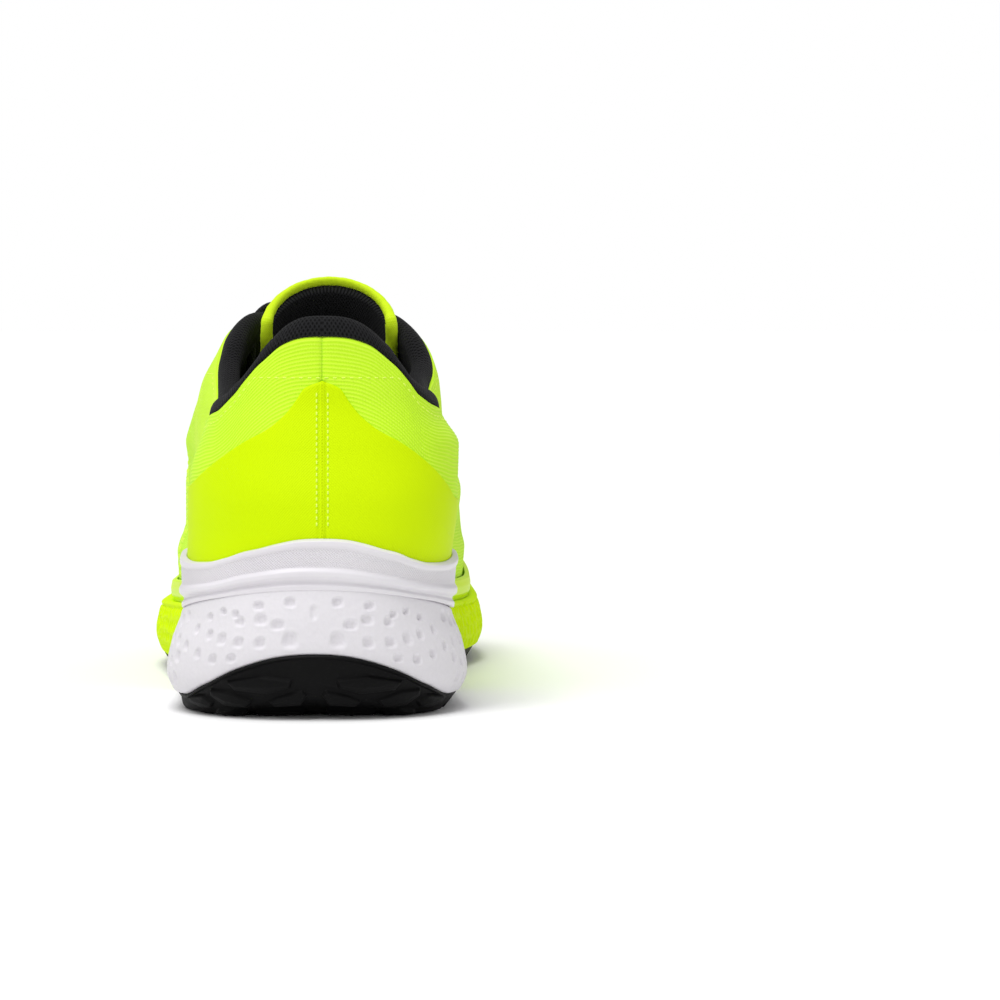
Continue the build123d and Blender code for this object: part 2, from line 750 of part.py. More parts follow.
def make_lacing():
    halves = {}
    for start in SIDES:
        points, side = lace_half(start)
        halves[start] = points + tucked_end(side)
    bar = (throat_centre(EYELET_FIRST), world_y(EYELET_FIRST), crown(EYELET_FIRST) + LACE_DIAMETER / 2 + 0.8)
    way = halves["lateral"][::-1] + [bar] + halves["medial"]
    with BuildPart() as lace:
        with BuildLine():
            path = FilletPolyline(*way, radius=LACE_BEND)
        with BuildSketch(Plane(origin=way[0], z_dir=(0, 0, 1))):
            Circle(LACE_DIAMETER / 2)
        sweep(path=path)
    finished(lace.part, "lace")
    for points in halves.values():
        tip = points[-1]
        side = "lateral" if tip[0] < throat_centre(EYELET_LAST) else "medial"
        with BuildPart() as aglet:
            with BuildSketch(Plane.XY.offset(tip[2] - 0.3)):
                with Locations((tip[0], tip[1])):
                    Circle(LACE_DIAMETER / 2 + AGLET_WALL)
                    Circle(LACE_DIAMETER / 2 + BOND_GAP, mode=Mode.SUBTRACT)
            extrude(amount=AGLET_LENGTH)
        finished(aglet.part, f"aglet_{side}")


def main():
    os.makedirs("parts", exist_ok=True)
    make_midsole()
    make_outsole()
    make_rails()
    make_footbed()
    make_shell()
    make_stiffeners()
    make_linings()
    make_collar()
    make_overlays()
    make_eyestays()
    make_tongue()
    make_lacing()


if __name__ == "__main__":
    main()
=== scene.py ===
import math

import bmesh
import bpy
import numpy as np
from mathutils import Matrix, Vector


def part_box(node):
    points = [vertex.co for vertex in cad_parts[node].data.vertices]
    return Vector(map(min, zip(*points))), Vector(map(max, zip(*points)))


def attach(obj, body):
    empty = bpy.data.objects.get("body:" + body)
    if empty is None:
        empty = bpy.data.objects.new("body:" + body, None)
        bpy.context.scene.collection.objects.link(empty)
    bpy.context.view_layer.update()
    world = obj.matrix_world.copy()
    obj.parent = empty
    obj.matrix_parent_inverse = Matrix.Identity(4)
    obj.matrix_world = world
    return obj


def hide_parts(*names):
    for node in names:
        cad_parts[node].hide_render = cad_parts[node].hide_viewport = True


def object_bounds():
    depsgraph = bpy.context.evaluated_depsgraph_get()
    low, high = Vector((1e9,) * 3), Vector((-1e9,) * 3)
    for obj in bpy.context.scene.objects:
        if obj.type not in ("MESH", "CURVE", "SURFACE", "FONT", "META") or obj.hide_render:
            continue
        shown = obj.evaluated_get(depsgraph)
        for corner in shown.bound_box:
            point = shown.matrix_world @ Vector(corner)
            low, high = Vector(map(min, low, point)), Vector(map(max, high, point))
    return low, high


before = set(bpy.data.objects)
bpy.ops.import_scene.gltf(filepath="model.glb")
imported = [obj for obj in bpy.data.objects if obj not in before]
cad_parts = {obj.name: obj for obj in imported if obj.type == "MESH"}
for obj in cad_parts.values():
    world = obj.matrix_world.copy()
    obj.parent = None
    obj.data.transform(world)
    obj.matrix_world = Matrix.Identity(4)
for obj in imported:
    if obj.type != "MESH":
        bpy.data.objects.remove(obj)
CAD_LOW, CAD_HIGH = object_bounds()
MM = 1000.0

# Sizes in millimetres, read from the CAD model
LENGTH = (CAD_HIGH.y - CAD_LOW.y) * MM
SOLE_WIDTH = (CAD_HIGH.x - CAD_LOW.x) * MM
BALL_LATERAL = SOLE_WIDTH * 0.5224
BALL_MEDIAL = SOLE_WIDTH * 0.4776
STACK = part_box("midsole_rear")[1].z * MM
COLLAR_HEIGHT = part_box("heel_overlay_lateral")[1].z * MM / 0.885
HEEL_HALF = 42.0
WAIST_LATERAL = 43.5
WAIST_MEDIAL = 37.5
SIDE_SHIFT = (BALL_LATERAL - BALL_MEDIAL) / 2
SIDE_LEDGE = 6.4
HEEL_ROUND = 0.125 * LENGTH
TOE_ROUND = 0.215 * LENGTH
SOLE_HEEL_ROUND = 0.14 * LENGTH
THROAT_HALF = 13.0
THROAT_END = 0.69
COLOUR_SPLIT = 0.36
TONGUE_TOP = 0.36
TONGUE_BASE = 0.72
TONGUE_WALL = 4.6
TONGUE_RADIUS = 20.4
LATERAL, MEDIAL = -1.0, 1.0
SIDES = ((LATERAL, "lateral"), (MEDIAL, "medial"))

# Heights of each piece's two faces over the upper's form, and the slant of the seam between the colours
KNIT_INSIDE = -1.5
VAMP_LINING_FACES, HEEL_LINING_FACES = (-1.6, -2.45), (-2.75, -3.6)
FILM_OUTSIDE, FILM_INSIDE = 0.62, 0.04
CLIP_OUTSIDE, CLIP_INSIDE = 2.25, 0.72
EYESTAY_OUTSIDE = 0.98
CLIP_SLANT_LOW, CLIP_SLANT_HIGH = 6.5, 1.5
FOAM_SLANT_LOW, FOAM_SLANT_HIGH = 14.0, 4.5
CLIP_BACK = 4
RIB_DEPTH, RIB_PITCH = 0.10, 1.05
MESH_DEPTH, MESH_PITCH = 0.3, 1.05
SEAM_DEPTH, SEAM_WIDTH = 0.45, 0.9


# Curves ---------------------------------------------------------------------------------------

def smooth(points):
    """A monotone cubic through (position, value) points, held level past both ends."""
    xs, ys = np.array(points, float).T
    rise = np.diff(ys) / np.diff(xs)
    slope = np.concatenate([rise[:1], np.zeros(len(rise) - 1), rise[-1:]])
    for i in range(1, len(rise)):
        a, b = rise[i - 1], rise[i]
        slope[i] = 0.0 if a * b <= 0 else 2 * a * b / (a + b)

    def value(x):
        x = np.clip(x, xs[0], xs[-1])
        i = np.clip(np.searchsorted(xs, x, side="right") - 1, 0, len(xs) - 2)
        h = xs[i + 1] - xs[i]
        t = (x - xs[i]) / h
        blend = t * t * (3 - 2 * t)
        bow = h * t * (1 - t) * (slope[i] * (1 - t) - slope[i + 1] * t)
        return ys[i] * (1 - blend) + ys[i + 1] * blend + bow

    return value


def step(x, low, high):
    t = np.clip((x - low) / (high - low), 0, 1)
    return t * t * (3 - 2 * t)


sole_lateral = smooth([
    (0.0, 0.97 * HEEL_HALF), (0.12, HEEL_HALF), (0.25, 0.985 * HEEL_HALF), (0.38, WAIST_LATERAL),
    (0.52, 0.92 * BALL_LATERAL), (0.65, BALL_LATERAL), (0.77, 0.965 * BALL_LATERAL),
    (0.88, 0.885 * BALL_LATERAL), (1.0, 0.80 * BALL_LATERAL),
])
sole_medial = smooth([
    (0.0, 0.97 * HEEL_HALF), (0.12, HEEL_HALF), (0.25, 0.95 * HEEL_HALF), (0.40, WAIST_MEDIAL),
    (0.55, 0.86 * BALL_MEDIAL), (0.70, BALL_MEDIAL), (0.80, 0.955 * BALL_MEDIAL),
    (0.90, 0.89 * BALL_MEDIAL), (1.0, 0.84 * BALL_MEDIAL),
])
centre_line = smooth([(0.0, 0.0), (0.65, 0.0), (0.85, 2.5), (1.0, 6.0)])
SOLE_LEVELS = [-0.08, 0.11, 0.3, 0.54, 0.76, 1.0, 1.45]
sole_side_inset = smooth(list(zip(SOLE_LEVELS, [6.0, 2.2, 0.0, 1.6, 4.4, 5.0, 5.4])))
sole_back_inset = smooth(list(zip(SOLE_LEVELS, [14.0, 7.0, 2.6, 0.5, 0.0, 0.8, 2.4])))
sole_front_inset = smooth(list(zip(SOLE_LEVELS, [17.0, 9.0, 4.0, 1.0, 0.0, 1.2, 3.5])))
ground = smooth([(0.0, 9.0), (0.035, 4.0), (0.09, 0.0), (0.74, 0.0), (0.88, 4.5), (1.0, 13.5)])
bond = smooth([
    (0.0, 18.7), (0.02, 14.2), (0.05, 9.0), (0.10, 5.0), (0.74, 5.0), (0.88, 9.5), (1.0, 19.0),
])
rim_share = smooth([
    (0.0, 1.0), (0.05, 0.89), (0.14, 0.77), (0.28, 0.71), (0.42, 0.65), (0.66, 0.56), (0.78, 0.60),
    (0.90, 0.72), (1.0, 0.86),
])
rail_share = smooth([
    (0.0, 1.375), (0.009, 1.352), (0.0137, 1.314), (0.02, 1.272), (0.0265, 1.247), (0.0375, 1.198),
    (0.056, 1.158), (0.078, 1.150), (0.12, 1.175), (0.175, 1.215), (0.212, 1.20), (0.245, 1.08), (0.28, 0.93),
    (0.34, 0.87), (0.45, 0.82), (0.66, 0.74), (0.78, 0.80), (0.90, 0.98), (1.0, 1.18),
])
seat_share = smooth([
    (0.0, 0.76), (0.22, 0.72), (0.45, 0.60), (0.66, 0.45), (0.80, 0.47), (0.92, 0.60), (1.0, 0.72),
])
form_back = smooth([
    (0.13, 6.0), (0.31, 3.4), (0.43, 2.5), (0.56, 3.5), (0.71, 7.5), (0.84, 10.5), (0.94, 10.8),
    (1.02, 9.8), (1.12, 8.4), (1.22, 7.5),
])
form_front = smooth([
    (0.13, 0.972), (0.24, 0.976), (0.34, 0.974), (0.41, 0.960), (0.47, 0.925), (0.52, 0.880),
    (0.56, 0.830), (0.62, 0.760), (0.70, 0.680), (0.79, 0.597), (0.88, 0.528), (0.98, 0.468),
    (1.08, 0.410), (1.22, 0.345),
])
form_lateral = smooth([
    (0.13, 0.96), (0.31, 0.99), (0.45, 1.0), (0.77, 1.0), (0.86, 0.97), (0.96, 0.88), (1.08, 0.80),
    (1.22, 0.72),
])
form_medial = smooth([
    (0.13, 0.96), (0.31, 0.99), (0.45, 1.02), (0.60, 1.07), (0.77, 1.09), (0.86, 1.07), (0.96, 1.0),
    (1.08, 0.90), (1.22, 0.80),
])
TOP_SHARES = (-0.05, 0.034, 0.042, 0.052, 0.06, 0.07, 0.093, 0.15, 0.20, 0.245, 0.29, 0.325, 0.355,
              0.385, 0.43, 1.0)


def top_curve(dip):
    heights = (1.0, 1.0, 0.982, 0.938, 0.895, 0.851, dip + 0.026, dip + 0.006, dip, dip + 0.03, 0.885, 0.98,
               1.03, 1.036, 1.04, 1.05)
    return smooth(list(zip(TOP_SHARES, heights)))


top_lateral = top_curve(0.780)
top_medial = top_curve(0.797)
throat_flare = smooth([(0.31, 7.5), (0.38, 4.0), (0.46, 1.2), (0.56, 0.0), (0.63, -1.0)])
throat_lean = smooth([(0.35, 2.6), (0.69, 1.0)])


def by_side(sign, lateral, medial):
    return np.where(np.asarray(sign) < 0, lateral, medial)


def rounding(distance, radius):
    left = 1 - np.clip(distance / radius, 0, 1)
    return (1 - left ** 2.2) ** (1 / 2.2)


def reach(level, grow=0.0):
    """How far forwards the upper's form goes at a level."""
    run = (form_front(level + 0.01) - form_front(level - 0.01)) * LENGTH / (0.02 * COLLAR_HEIGHT)
    return form_front(level) * LENGTH + grow * np.sqrt(1 + np.minimum(run * run, 9.0))


def slim(y, level):
    """How much closer together the forefoot's walls stand than the CAD model's."""
    along = step(y, 100, 140) * (1 - step(y, 205, 232))
    return 3.0 * along * step(level, 0.34, 0.44) * (1 - step(level, 0.60, 0.70))


def form_width(sign, y, level, grow=0.0):
    share = y / LENGTH
    lateral = (sole_lateral(share) - SIDE_LEDGE) * form_lateral(level)
    medial = (sole_medial(share) - SIDE_LEDGE + 0.8) * form_medial(level)
    half = by_side(sign, lateral, medial) + grow - slim(y, level)
    back = form_back(level) - grow
    return half * rounding(y - back, HEEL_ROUND) * rounding(reach(level, grow) - y, TOE_ROUND)


ankle_lean = smooth([
    (16.0, 0.0), (22.0, 1.6), (30.0, 3.4), (43.0, 4.8), (72.0, 5.0), (80.0, 4.2), (88.0, 2.4),
    (95.0, 0.8), (102.0, 0.0),
])
heel_turn = smooth([(0.0, 2.3), (12.0, 2.1), (28.0, 0.8), (46.0, 0.0)])


def lean(sign, y, level):
    """How far the collar's edge leans in towards the ankle, more sharply on the medial side."""
    fade = by_side(sign, 1.0, 1 - 0.7 * step(y, 76, 92))
    return ankle_lean(y) * fade * step(level, by_side(sign, 0.62, 0.71), 0.80)


def on_form(sign, u, level, grow=0.0):
    """A point of the upper's outside: u runs from the heel's centre, 0, to the toe or ridge, 1."""
    back = form_back(level) - grow
    y = back + (reach(level, grow) - back) * (1 - np.cos(math.pi * u)) / 2
    half = form_width(sign, y, level, grow) - lean(sign, y, level)
    x = SIDE_SHIFT + centre_line(y / LENGTH) + sign * half + heel_turn(y) * step(level, 0.36, 0.50)
    return np.stack([x, y - LENGTH / 2, level * COLLAR_HEIGHT + 0 * x], -1)


def sole_front(level):
    return LENGTH - sole_front_inset(level)


def on_sole(sign, u, level):
    """A point of the sole's outside wall, by the same two numbers."""
    side = sole_side_inset(level)
    back = sole_back_inset(level)
    front = sole_front(level)
    y = back + (front - back) * (1 - np.cos(math.pi * u)) / 2
    share = y / LENGTH
    half = by_side(sign, sole_lateral(share), sole_medial(share)) - side
    width = half * rounding(y - back, SOLE_HEEL_ROUND) * rounding(front - y, TOE_ROUND)
    x = SIDE_SHIFT + centre_line(share) + sign * width
    return np.stack([x, y - LENGTH / 2, level * STACK + 0 * x], -1)


def normals(surface, sign, u, level):
    """Outward unit normals, from small steps along the surface."""
    h = 2e-3
    low, high = np.clip(u - h, 0, 1), np.clip(u + h, 0, 1)
    along = surface(sign, high, level) - surface(sign, low, level)
    up = surface(sign, u, level + h) - surface(sign, u, level - h)
    n = np.cross(along, up) * np.asarray(sign)[..., None]
    return n / np.maximum(np.linalg.norm(n, axis=-1, keepdims=True), 1e-9)


def u_at(distance, back, front):
    """The u of a point that far ahead of the form's back."""
    return np.arccos(np.clip(1 - 2 * distance / (front - back), -1, 1)) / math.pi


def settle(sign, distance, height, surface_back, surface_front, surface, scale):
    """For each column, the u and level where the surface meets height(point)."""
    level = np.full_like(distance, 0.6)
    for _ in range(60):
        u = u_at(distance, surface_back(level), surface_front(level))
        point = surface(sign, u, level)
        level = 0.5 * level + 0.5 * height(point, sign) / scale
    return u_at(distance, surface_back(level), surface_front(level)), level


def form_line(sign, distance, height):
    return settle(sign, distance, height, form_back, reach, on_form, COLLAR_HEIGHT)


def sole_line(sign, distance, height):
    return settle(sign, distance, height, sole_back_inset, sole_front, on_sole, STACK)


def share_of(point):
    return point[..., 1] / LENGTH + 0.5


def rim(point, sign):
    return rim_share(share_of(point)) * STACK


def rail_top(point, sign):
    return rail_share(share_of(point)) * STACK


def bond_line(point, sign):
    return bond(share_of(point))


def seat_line(point, sign):
    return seat_share(share_of(point)) * STACK


def topline(point, sign):
    s = share_of(point)
    return by_side(sign, top_lateral(s), top_medial(s)) * COLLAR_HEIGHT


def plus(curve, by):
    return lambda point, sign: curve(point, sign) + by


# Meshes ---------------------------------------------------------------------------------------

def new_object(name, verts, faces, flow, slot, material, body="shoe", replaces=(), extra=None):
    """A smooth mesh from points in millimetres. flow is read by the materials, as extra is."""
    mesh = bpy.data.meshes.new(name)
    verts = np.asarray(verts, np.float32) / MM
    mesh.vertices.add(len(verts))
    mesh.vertices.foreach_set("co", verts.ravel())
    sizes = np.array([len(f) for f in faces], np.int32)
    mesh.loops.add(int(sizes.sum()))
    mesh.loops.foreach_set("vertex_index", np.concatenate([np.asarray(f, np.int32) for f in faces])
                           if not isinstance(faces, np.ndarray) else faces.astype(np.int32).ravel())
    mesh.polygons.add(len(faces))
    mesh.polygons.foreach_set("loop_start", np.concatenate([[0], np.cumsum(sizes)[:-1]]).astype(np.int32))
    mesh.polygons.foreach_set("loop_total", sizes)
    mesh.update(calc_edges=True)
    mesh.validate()
    layer = mesh.attributes.new("flow", "FLOAT_VECTOR", "POINT")
    layer.data.foreach_set("vector", np.asarray(flow, np.float32).ravel())
    for key, values in (extra or {}).items():
        layer = mesh.attributes.new(key, "FLOAT", "POINT")
        layer.data.foreach_set("value", np.asarray(values, np.float32).ravel())
    obj = bpy.data.objects.new(name, mesh)
    bpy.context.scene.collection.objects.link(obj)
    mesh.polygons.foreach_set("use_smooth", np.ones(len(mesh.polygons), bool))
    mesh.materials.append(material)
    if replaces:
        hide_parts(*replaces)
    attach(obj, body)
    return obj


def quads(columns, rows, offset=0, close=False, flip=False):
    """Faces of a grid of columns by rows. close joins the last column to the first."""
    last = columns if close else columns - 1
    i, j = np.meshgrid(np.arange(last), np.arange(rows - 1), indexing="ij")
    k = (i + 1) % columns
    face = np.stack([i * rows + j, k * rows + j, k * rows + j + 1, i * rows + j + 1], -1).reshape(-1, 4)
    return (face[:, ::-1] if flip else face) + offset


def edge_faces(columns, rows):
    """Faces between two grids: along their low and high ends, then over their first and last columns."""
    count = columns * rows
    i, j = np.arange(columns - 1) * rows, np.arange(rows - 1)
    low = np.stack([i, i + count, i + rows + count, i + rows], -1)
    first = np.stack([j, j + 1, j + 1 + count, j + count], -1)
    return [low, (low + rows - 1)[:, ::-1], first, (first + (columns - 1) * rows)[:, ::-1]]


def shell(name, outer, inner, flow, extra=None, **rest):
    """A closed sheet between two grids of points (columns, rows, 3)."""
    columns, rows = outer.shape[:2]
    faces = [quads(columns, rows), quads(columns, rows, columns * rows, flip=True)]
    faces += edge_faces(columns, rows)
    verts = np.concatenate([outer.reshape(-1, 3), inner.reshape(-1, 3)])
    both = np.concatenate([flow.reshape(-1, 3)] * 2)
    extra = {key: np.concatenate([value.ravel()] * 2) for key, value in (extra or {}).items()}
    return new_object(name, verts, np.concatenate(faces), both, extra=extra, **rest)


def side_shell(name, sign, patch, outer, inner, **rest):
    """A sheet over a patch of one side, with its faces outwards on both sides."""
    order = slice(None, None, -1 if sign < 0 else 1)
    return shell(name, patch.at(outer)[order], patch.at(inner)[order], patch.flow()[order], **rest)


def arc_lengths(points, axis=0):
    steps = np.linalg.norm(np.diff(points, axis=axis), axis=-1)
    pad = [(0, 0)] * steps.ndim
    pad[axis] = (1, 0)
    return np.pad(np.cumsum(steps, axis=axis), pad)


def columns_by_arc(surface_line, sign, end, spacing, height):
    """Distances ahead of the heel's back, evenly spaced along a line of the surface."""
    fine = end * np.linspace(0, 1, 3000) ** 2.2
    signs = np.full_like(fine, sign)
    u, level = surface_line(signs, fine, height)
    surface = on_form if surface_line is form_line else on_sole
    arc = arc_lengths(surface(signs, u, level))
    count = max(8, int(arc[-1] / spacing))
    return np.interp(np.linspace(0, arc[-1], count), arc, fine)


def side_columns(sign, end, spacing, curve):
    """Signs and distances of even columns along a line of one side of the form."""
    distance = columns_by_arc(form_line, sign, end, spacing, curve)
    return np.full_like(distance, sign), distance


class Patch:
    """A piece of a surface: columns that run from one line of it to another."""

    def __init__(self, surface, sign, low, high, rows, ease=1.0):
        self.surface = surface
        self.sign = np.repeat(np.asarray(sign, float)[:, None], rows, 1)
        t = np.linspace(0, 1, rows)[None, :]
        ease = np.broadcast_to(np.asarray(ease, float), low[0].shape)[:, None]
        eased = 1 - (1 - t) ** ease
        back = form_back if surface is on_form else sole_back_inset
        front = reach if surface is on_form else sole_front
        self.level = low[1][:, None] + (high[1] - low[1])[:, None] * eased
        ends = []
        for u, level in (low, high):
            ends.append((front(level) - back(level)) * (1 - np.cos(math.pi * u)) / 2)
        distance = ends[0][:, None] + (ends[1] - ends[0])[:, None] * eased
        self.u = u_at(distance, back(self.level), front(self.level))
        self.t = np.repeat(t, len(low[0]), 0)
        self.points = surface(self.sign, self.u, self.level)
        self.normal = normals(surface, self.sign, self.u, self.level)
        self.up = arc_lengths(self.points, 1)
        middle = self.points[:, rows // 3]
        self.along = np.repeat(arc_lengths(middle)[:, None], rows, 1)

    def at(self, depth):
        depth = np.asarray(depth)
        return self.points + self.normal * (depth[..., None] if depth.ndim else depth)

    def flow(self):
        return np.stack([self.along, self.up, self.t], -1)

    def recentre(self):
        """Measures the distance along from the heel's centre line, signed by side."""
        centre = int(np.argmin(self.u[:, 0]))
        self.along = self.along - self.along[centre]
        return self


def joined(spacing, end_low, end_high, height, line=form_line):
    """Columns round the heel, from the lateral side's end to the medial side's."""
    sides = []
    for sign in (LATERAL, MEDIAL):
        distance = columns_by_arc(line, sign, end_low, spacing, height)
        other = distance * (end_high / end_low)
        sides.append((np.full_like(distance, sign), distance, other))
    lateral = [a[::-1] for a in sides[0]]
    return [np.concatenate([a, b[1:]]) for a, b in zip(lateral, sides[1])]


# Materials ------------------------------------------------------------------------------------

def linear(r, g, b):
    """A colour of a screen's 0 to 255 as the shader's own."""
    parts = [c / 255 / 12.92 if c <= 10 else ((c / 255 + 0.055) / 1.055) ** 2.4 for c in (r, g, b)]
    return (*parts, 1.0)


class Look:
    """A procedural material, with short calls for its nodes."""

    def __init__(self, name, roughness, **values):
        self.mat = bpy.data.materials.new(name)
        self.mat.use_nodes = True
        self.tree = self.mat.node_tree
        self.bsdf = self.tree.nodes["Principled BSDF"]
        self.bsdf.inputs["Roughness"].default_value = roughness
        for key, value in values.items():
            self.bsdf.inputs[key.replace("_", " ")].default_value = value

    def node(self, kind, inputs=(), **props):
        n = self.tree.nodes.new("ShaderNode" + kind)
        for key, value in props.items():
            setattr(n, key, value)
        for key, value in dict(inputs).items():
            if isinstance(value, bpy.types.NodeSocket):
                self.tree.links.new(value, n.inputs[key])
            else:
                n.inputs[key].default_value = value
        return n

    def math(self, operation, a, b=0.0):
        return self.node("Math", {0: a, 1: b}, operation=operation).outputs[0]

    def plus(self, a, b, share):
        """a and a share of b."""
        return self.math("ADD", a, self.math("MULTIPLY", b, share))

    def blend(self, a, share, b, other):
        return self.plus(self.math("MULTIPLY", a, share), b, other)

    def flow(self):
        """Distance along and up the piece, in millimetres."""
        parts = self.node("SeparateXYZ", {0: self.node("Attribute", attribute_name="flow").outputs["Vector"]})
        return parts.outputs[0], parts.outputs[1]

    def wave(self, value, pitch):
        """0 to 1, once each pitch."""
        turns = self.math("MULTIPLY", value, 2 * math.pi / pitch)
        wave = self.math("MULTIPLY_ADD", self.math("SINE", turns), 0.5)
        wave.node.inputs[2].default_value = 0.5
        return wave

    def noise(self, scale, detail=3.0):
        source = self.node("TexCoord").outputs["Object"]
        return self.node("TexNoise", {"Vector": source, "Scale": scale, "Detail": detail}).outputs["Fac"]

    def colour(self, factor, stops):
        ramp = self.node("ValToRGB", {"Fac": factor})
        elements = ramp.color_ramp.elements
        while len(elements) < len(stops):
            elements.new(0.5)
        for element, (place, rgb) in zip(elements, stops):
            element.position = place
            element.color = linear(*rgb)
        self.tree.links.new(ramp.outputs["Color"], self.bsdf.inputs["Base Color"])

    def bump(self, height, distance, strength=1.0):
        n = self.node("Bump", {"Height": height, "Distance": distance / MM, "Strength": strength})
        self.tree.links.new(n.outputs["Normal"], self.bsdf.inputs["Normal"])

    def rough(self, factor, low, high):
        n = self.node("MapRange", {"Value": factor, "To Min": low, "To Max": high})
        self.tree.links.new(n.outputs[0], self.bsdf.inputs["Roughness"])


def knit_look():
    look = Look("knit_yellow", 0.8, Sheen_Weight=0.06, Sheen_Roughness=0.5, Specular_IOR_Level=0.15)
    along, up = look.flow()
    rib = look.wave(up, RIB_PITCH)
    loop = look.wave(along, 0.8)
    patches = look.noise(28.0, 2.0)
    fibre = look.noise(1600.0, 2.0)
    tone = look.math("MULTIPLY_ADD", rib, 0.5)
    look.tree.links.new(look.math("MULTIPLY", patches, 0.5), tone.node.inputs[2])
    look.colour(tone, [(0.1, (186, 240, 26)), (0.5, (203, 248, 46)), (0.95, (217, 252, 76))])
    cell = look.math("MULTIPLY", rib, look.math("MULTIPLY_ADD", loop, 0.5))
    look.bump(look.plus(cell, fibre, 0.35), 0.16, 0.7)
    return look.mat


def film_look():
    look = Look("film_yellow", 0.55, Specular_IOR_Level=0.06)
    along, up = look.flow()
    twill = look.wave(look.math("ADD", along, up), 0.85)
    cloud = look.noise(22.0, 2.0)
    look.colour(look.blend(twill, 0.2, cloud, 0.8),
                [(0.25, (200, 233, 0)), (0.55, (207, 239, 1)), (0.85, (213, 243, 4))])
    look.bump(look.plus(twill, look.noise(1200.0), 0.5), 0.07, 0.7)
    look.rough(cloud, 0.46, 0.58)
    return look.mat


def foam_look(name, stops, roughness, gloss=0.4):
    look = Look(name, roughness, Specular_IOR_Level=gloss)
    grain = look.noise(900.0, 3.0)
    cloud = look.noise(18.0, 2.0)
    look.colour(look.blend(grain, 0.4, cloud, 0.6), stops)
    look.bump(grain, 0.12, 0.55)
    look.rough(cloud, roughness - 0.06, roughness + 0.08)
    return look.mat


def clip_look(name, stops, gloss=0.4):
    look = Look(name, 0.42, Specular_IOR_Level=gloss)
    along, up = look.flow()
    twill = look.wave(look.plus(along, up, 1.15), 0.8)
    cross = look.wave(look.math("SUBTRACT", along, look.math("MULTIPLY", up, 1.15)), 0.8)
    texture = look.math("MULTIPLY", twill, cross)
    band = look.node("Attribute", attribute_name="band").outputs["Fac"]
    cloud = look.noise(20.0, 2.0)
    pattern = look.math("MULTIPLY", texture, band)
    look.colour(look.math("SUBTRACT", cloud, look.math("MULTIPLY", pattern, 0.3)), stops)
    look.bump(look.plus(pattern, look.noise(1500.0), 0.12), 0.18, 0.8)
    look.rough(pattern, 0.36, 0.6)
    return look.mat


def rubber_look():
    look = Look("rubber_black", 0.5, Specular_IOR_Level=0.12)
    grain = look.noise(1100.0, 4.0)
    scuff = look.noise(60.0, 5.0)
    look.colour(scuff, [(0.3, (3, 3, 3)), (0.6, (6, 6, 7)), (0.8, (12, 12, 13))])
    look.bump(look.plus(grain, scuff, 0.6), 0.18, 0.6)
    look.rough(scuff, 0.45, 0.72)
    return look.mat


def mesh_look(name, stops):
    """Spacer mesh: small holes, each row offset from the one before, with painted shade darkening the colour
    inside each hole.
    """
    look = Look(name, 0.86, Sheen_Weight=0.04, Specular_IOR_Level=0.12)
    along, up = look.flow()
    a = look.wave(look.plus(along, up, 0.58), MESH_PITCH)
    b = look.wave(look.math("SUBTRACT", along, look.math("MULTIPLY", up, 0.58)), MESH_PITCH)
    hole_and_shade = look.math("MULTIPLY", a, b)
    thread = look.noise(1500.0, 2.0)
    # Painted shade: the colour is darkened inside each hole, where shade falls into the recess.
    look.colour(look.math("SUBTRACT", look.math("MULTIPLY_ADD", thread, 0.7), hole_and_shade), stops)
    look.bump(look.math("SUBTRACT", look.math("MULTIPLY", thread, 0.3), hole_and_shade), MESH_DEPTH, 0.9)
    return look.mat


def weave_look(name, stops, pitch_along, pitch_up, deep, roughness=0.7):
    look = Look(name, roughness, Sheen_Weight=0.03, Specular_IOR_Level=0.14)
    along, up = look.flow()
    a = look.wave(along, pitch_along)
    b = look.wave(look.plus(up, along, 0.5), pitch_up)
    cloth = look.blend(a, 0.5, b, 0.5)
    fibre = look.noise(1800.0, 2.0)
    look.colour(look.blend(cloth, 0.7, fibre, 0.3), stops)
    look.bump(look.plus(cloth, fibre, 0.3), deep, 0.9)
    return look.mat


KNIT = knit_look()
FILM = film_look()
FOAM_WHITE = foam_look("foam_white", [(0.3, (220, 217, 222)), (0.6, (227, 224, 229)), (0.8, (232, 229, 234))],
                       0.62)
FOAM_YELLOW = foam_look("foam_yellow", [(0.3, (206, 238, 2)), (0.6, (214, 245, 4)), (0.8, (220, 249, 8))],
                        0.66, 0.05)
CLIP = clip_look("clip_white", [(0.0, (196, 192, 198)), (0.4, (220, 216, 222)), (0.7, (228, 225, 230))])
RAIL = clip_look("rail_yellow", [(0.0, (196, 226, 2)), (0.4, (211, 243, 4)), (0.7, (218, 246, 12))], 0.06)
RUBBER = rubber_look()
LINING = mesh_look("lining_black", [(0.0, (3, 3, 4)), (0.5, (17, 17, 18)), (0.9, (34, 34, 36))])
BINDING = weave_look("binding_yellow", [(0.2, (198, 236, 10)), (0.6, (214, 247, 24)), (0.9, (228, 252, 70))],
                     0.4, 0.4, 0.03)
LACE = weave_look("lace_black", [(0.2, (10, 10, 11)), (0.6, (26, 26, 28)), (0.9, (46, 46, 49))],
                  0.8, 0.9, 0.22)
SOCK = weave_look("sockliner", [(0.2, (20, 20, 22)), (0.6, (34, 34, 37)), (0.9, (52, 52, 56))],
                  1.2, 1.2, 0.2, 0.9)
THREAD = weave_look("thread_yellow", [(0.2, (222, 250, 70)), (0.6, (232, 253, 110)), (0.9, (240, 254, 150))],
                    0.5, 2.0, 0.02, 0.7)
BOARD = foam_look("board_grey", [(0.3, (186, 184, 176)), (0.6, (198, 196, 188)), (0.8, (208, 206, 200))],
                  0.85)


# Upper ----------------------------------------------------------------------------------------

